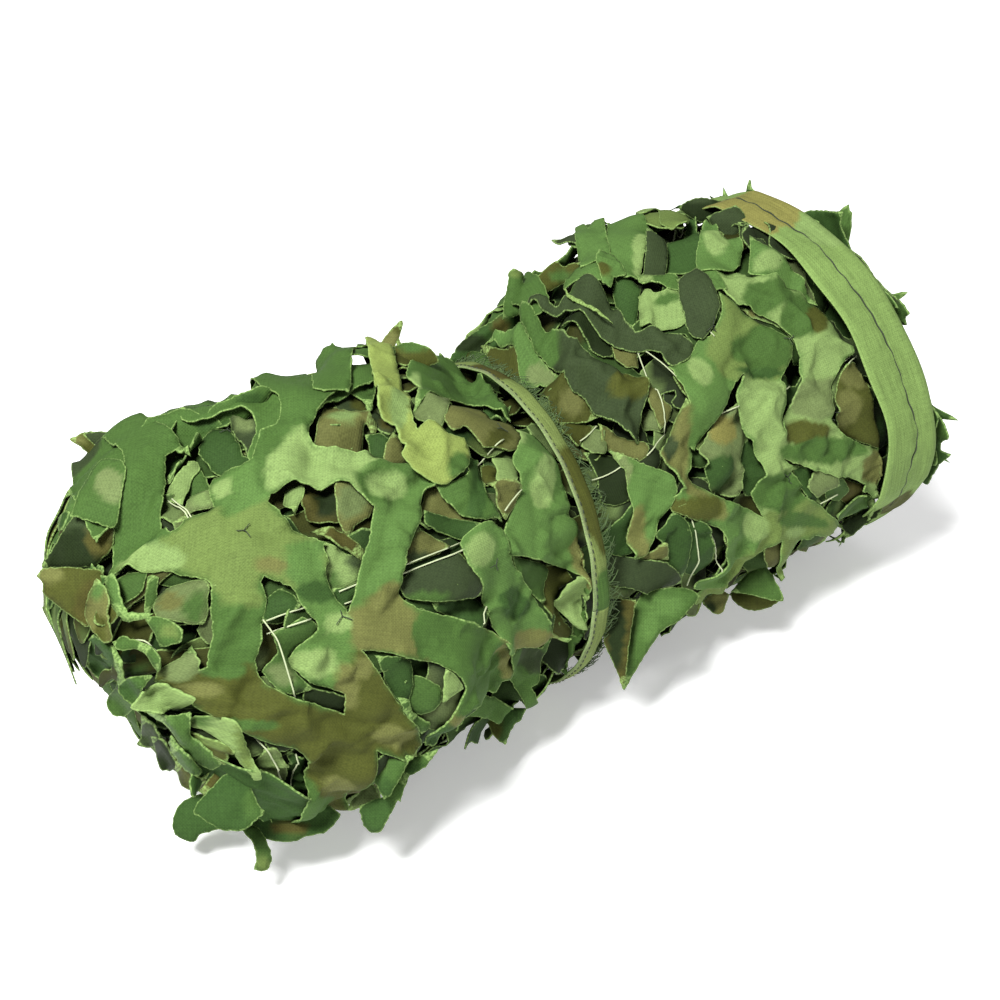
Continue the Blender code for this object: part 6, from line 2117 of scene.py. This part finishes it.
EVERYWHERE = (-180, 180)
DEEPEST_TONES = ("mid", "deep", "olive", "dark", "sage")
DEEP_TONES = ("mid", "deep", "olive", "khaki", "dark", "sage")
BACK_TONES = ("mid", "pale", "lime", "olive", "mid", "dark")
LOWER_SCATTERS = (
    Scatter(42, -6.5, (26, 40), EVERYWHERE, (3.6, 6.0), DEEPEST_TONES),
    Scatter(40, -4.6, (26, 42), EVERYWHERE, (3.4, 5.5), DEEP_TONES),
)
BACK_SCATTER = Scatter(46, 1.2, (34, 52), (132, 300), (3.0, 4.5), BACK_TONES, 0.7, (0, 0, 0, 1))


def by_level(parts):
    """What lies lower is laid first."""
    return sorted(parts, key=lambda part: part.level)


def leaves():
    """The layers of the net, from the wound core outwards."""
    body = core()
    random = np.random.default_rng(11)
    shown = []

    def layer(name, sheets):
        shown.append((sheets.finish(name, cloth), sheets))

    # The lower leaves are darkened to half, as painted shade deep between the layers.
    lower = Sheets(0.5)
    for scatter in LOWER_SCATTERS:
        scattered(lower, random, scatter)
    layer("lower_leaves", lower)
    back = Sheets()
    scattered(back, random, BACK_SCATTER)
    layer("back_leaves", back)
    # The inner leaves are darkened a little, as painted shade in the openings.
    inner = Sheets(0.84)
    for part in by_level(NEAR_UNDER + FAR_UNDER):
        add_net(inner, [part], random, 2.0, 3.0, 1.3)
    layer("inner_leaves", inner)
    strings = cords()
    edges = Sheets()
    for leaf in by_level(LEAVES) + list(RIM_TIPS):
        add_leaf(edges, leaf, random, 1.8, 3.0)
    layer("edge_leaves", edges)
    net = Sheets()
    for parts in (NEAR_NET, FAR_NET):
        add_net(net, parts, random, curl=0.8)
    layer("outer_net", net)
    upper = Sheets()
    for part in by_level(NEAR_BITS + FAR_BITS):
        add_net(upper, [part], random)
    add_net(upper, NEAR_OVER, random)
    layer("upper_leaves", upper)
    knots = stitch_marks()
    ends = Sheets()
    for part in by_level(END_PIECES):
        root = (*np.mean(part.outline, axis=0), 3.0 + 1.6 * part.level)
        flap = Flap(part.name, part.tone, root, part.outline, part.patches, part.creases)
        add_flap(ends, flap, random, over_rim=True)
    for part in RIM_PIECES:
        add_end(ends, part, random)
    for flap in FLAPS:
        add_flap(ends, flap, random)
    layer("end_leaves", ends)
    layer("wound_turns_near", wound_end(-1, random))
    layer("wound_turns_far", wound_end(1, random))
    for piece in (*(piece for piece, _ in shown), body, strings, knots):
        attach(piece, "root")
    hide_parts("net_roll")


# name, place, size and power, in metres and watts
LIGHTS = (
    ("key", (-0.85, -0.45, 1.5), 0.42, 70),
    ("fill", (1.2, -1.3, 0.9), 1.0, 9),
    ("back", (0.3, 1.5, 1.2), 1.0, 6),
)
LIGHTS_AIM = (0, 0, 0.1)
WORLD_STRENGTH = 0.27
FLOOR_SIZE = 12


def studio():
    """The floor, the light and the camera."""
    scene = bpy.context.scene
    scene.view_settings.view_transform = "Standard"
    world = bpy.data.worlds.new("studio")
    scene.world = world
    world.use_nodes = True
    sky = world.node_tree.nodes["Background"].inputs
    sky["Color"].default_value = (1, 1, 1, 1)
    sky["Strength"].default_value = WORLD_STRENGTH
    bpy.ops.mesh.primitive_plane_add(size=FLOOR_SIZE, location=(0, 0, 0))
    floor = bpy.context.object
    floor.name = "floor"
    floor.data.materials.append(floor_material())
    for name, where, size, power in LIGHTS:
        light = bpy.data.lights.new(name, "AREA")
        light.size = size
        light.energy = power
        lamp = bpy.data.objects.new(name, light)
        scene.collection.objects.link(lamp)
        lamp.location = where
        lamp.rotation_euler = (Vector(LIGHTS_AIM) - Vector(where)).to_track_quat("-Z", "Y").to_euler()
    camera = bpy.data.cameras.new("camera")
    viewer = bpy.data.objects.new("camera", camera)
    scene.collection.objects.link(viewer)
    back = Vector(AWAY)
    viewer.location = Vector((AIM - (*MIDDLE, 0)) * MM) + back * DISTANCE * MM
    viewer.rotation_euler = back.to_track_quat("Z", "Y").to_euler()
    camera.sensor_width = SENSOR
    camera.lens = LENS
    camera.clip_start = 0.01
    scene.camera = viewer


leaves()
bands()
studio()
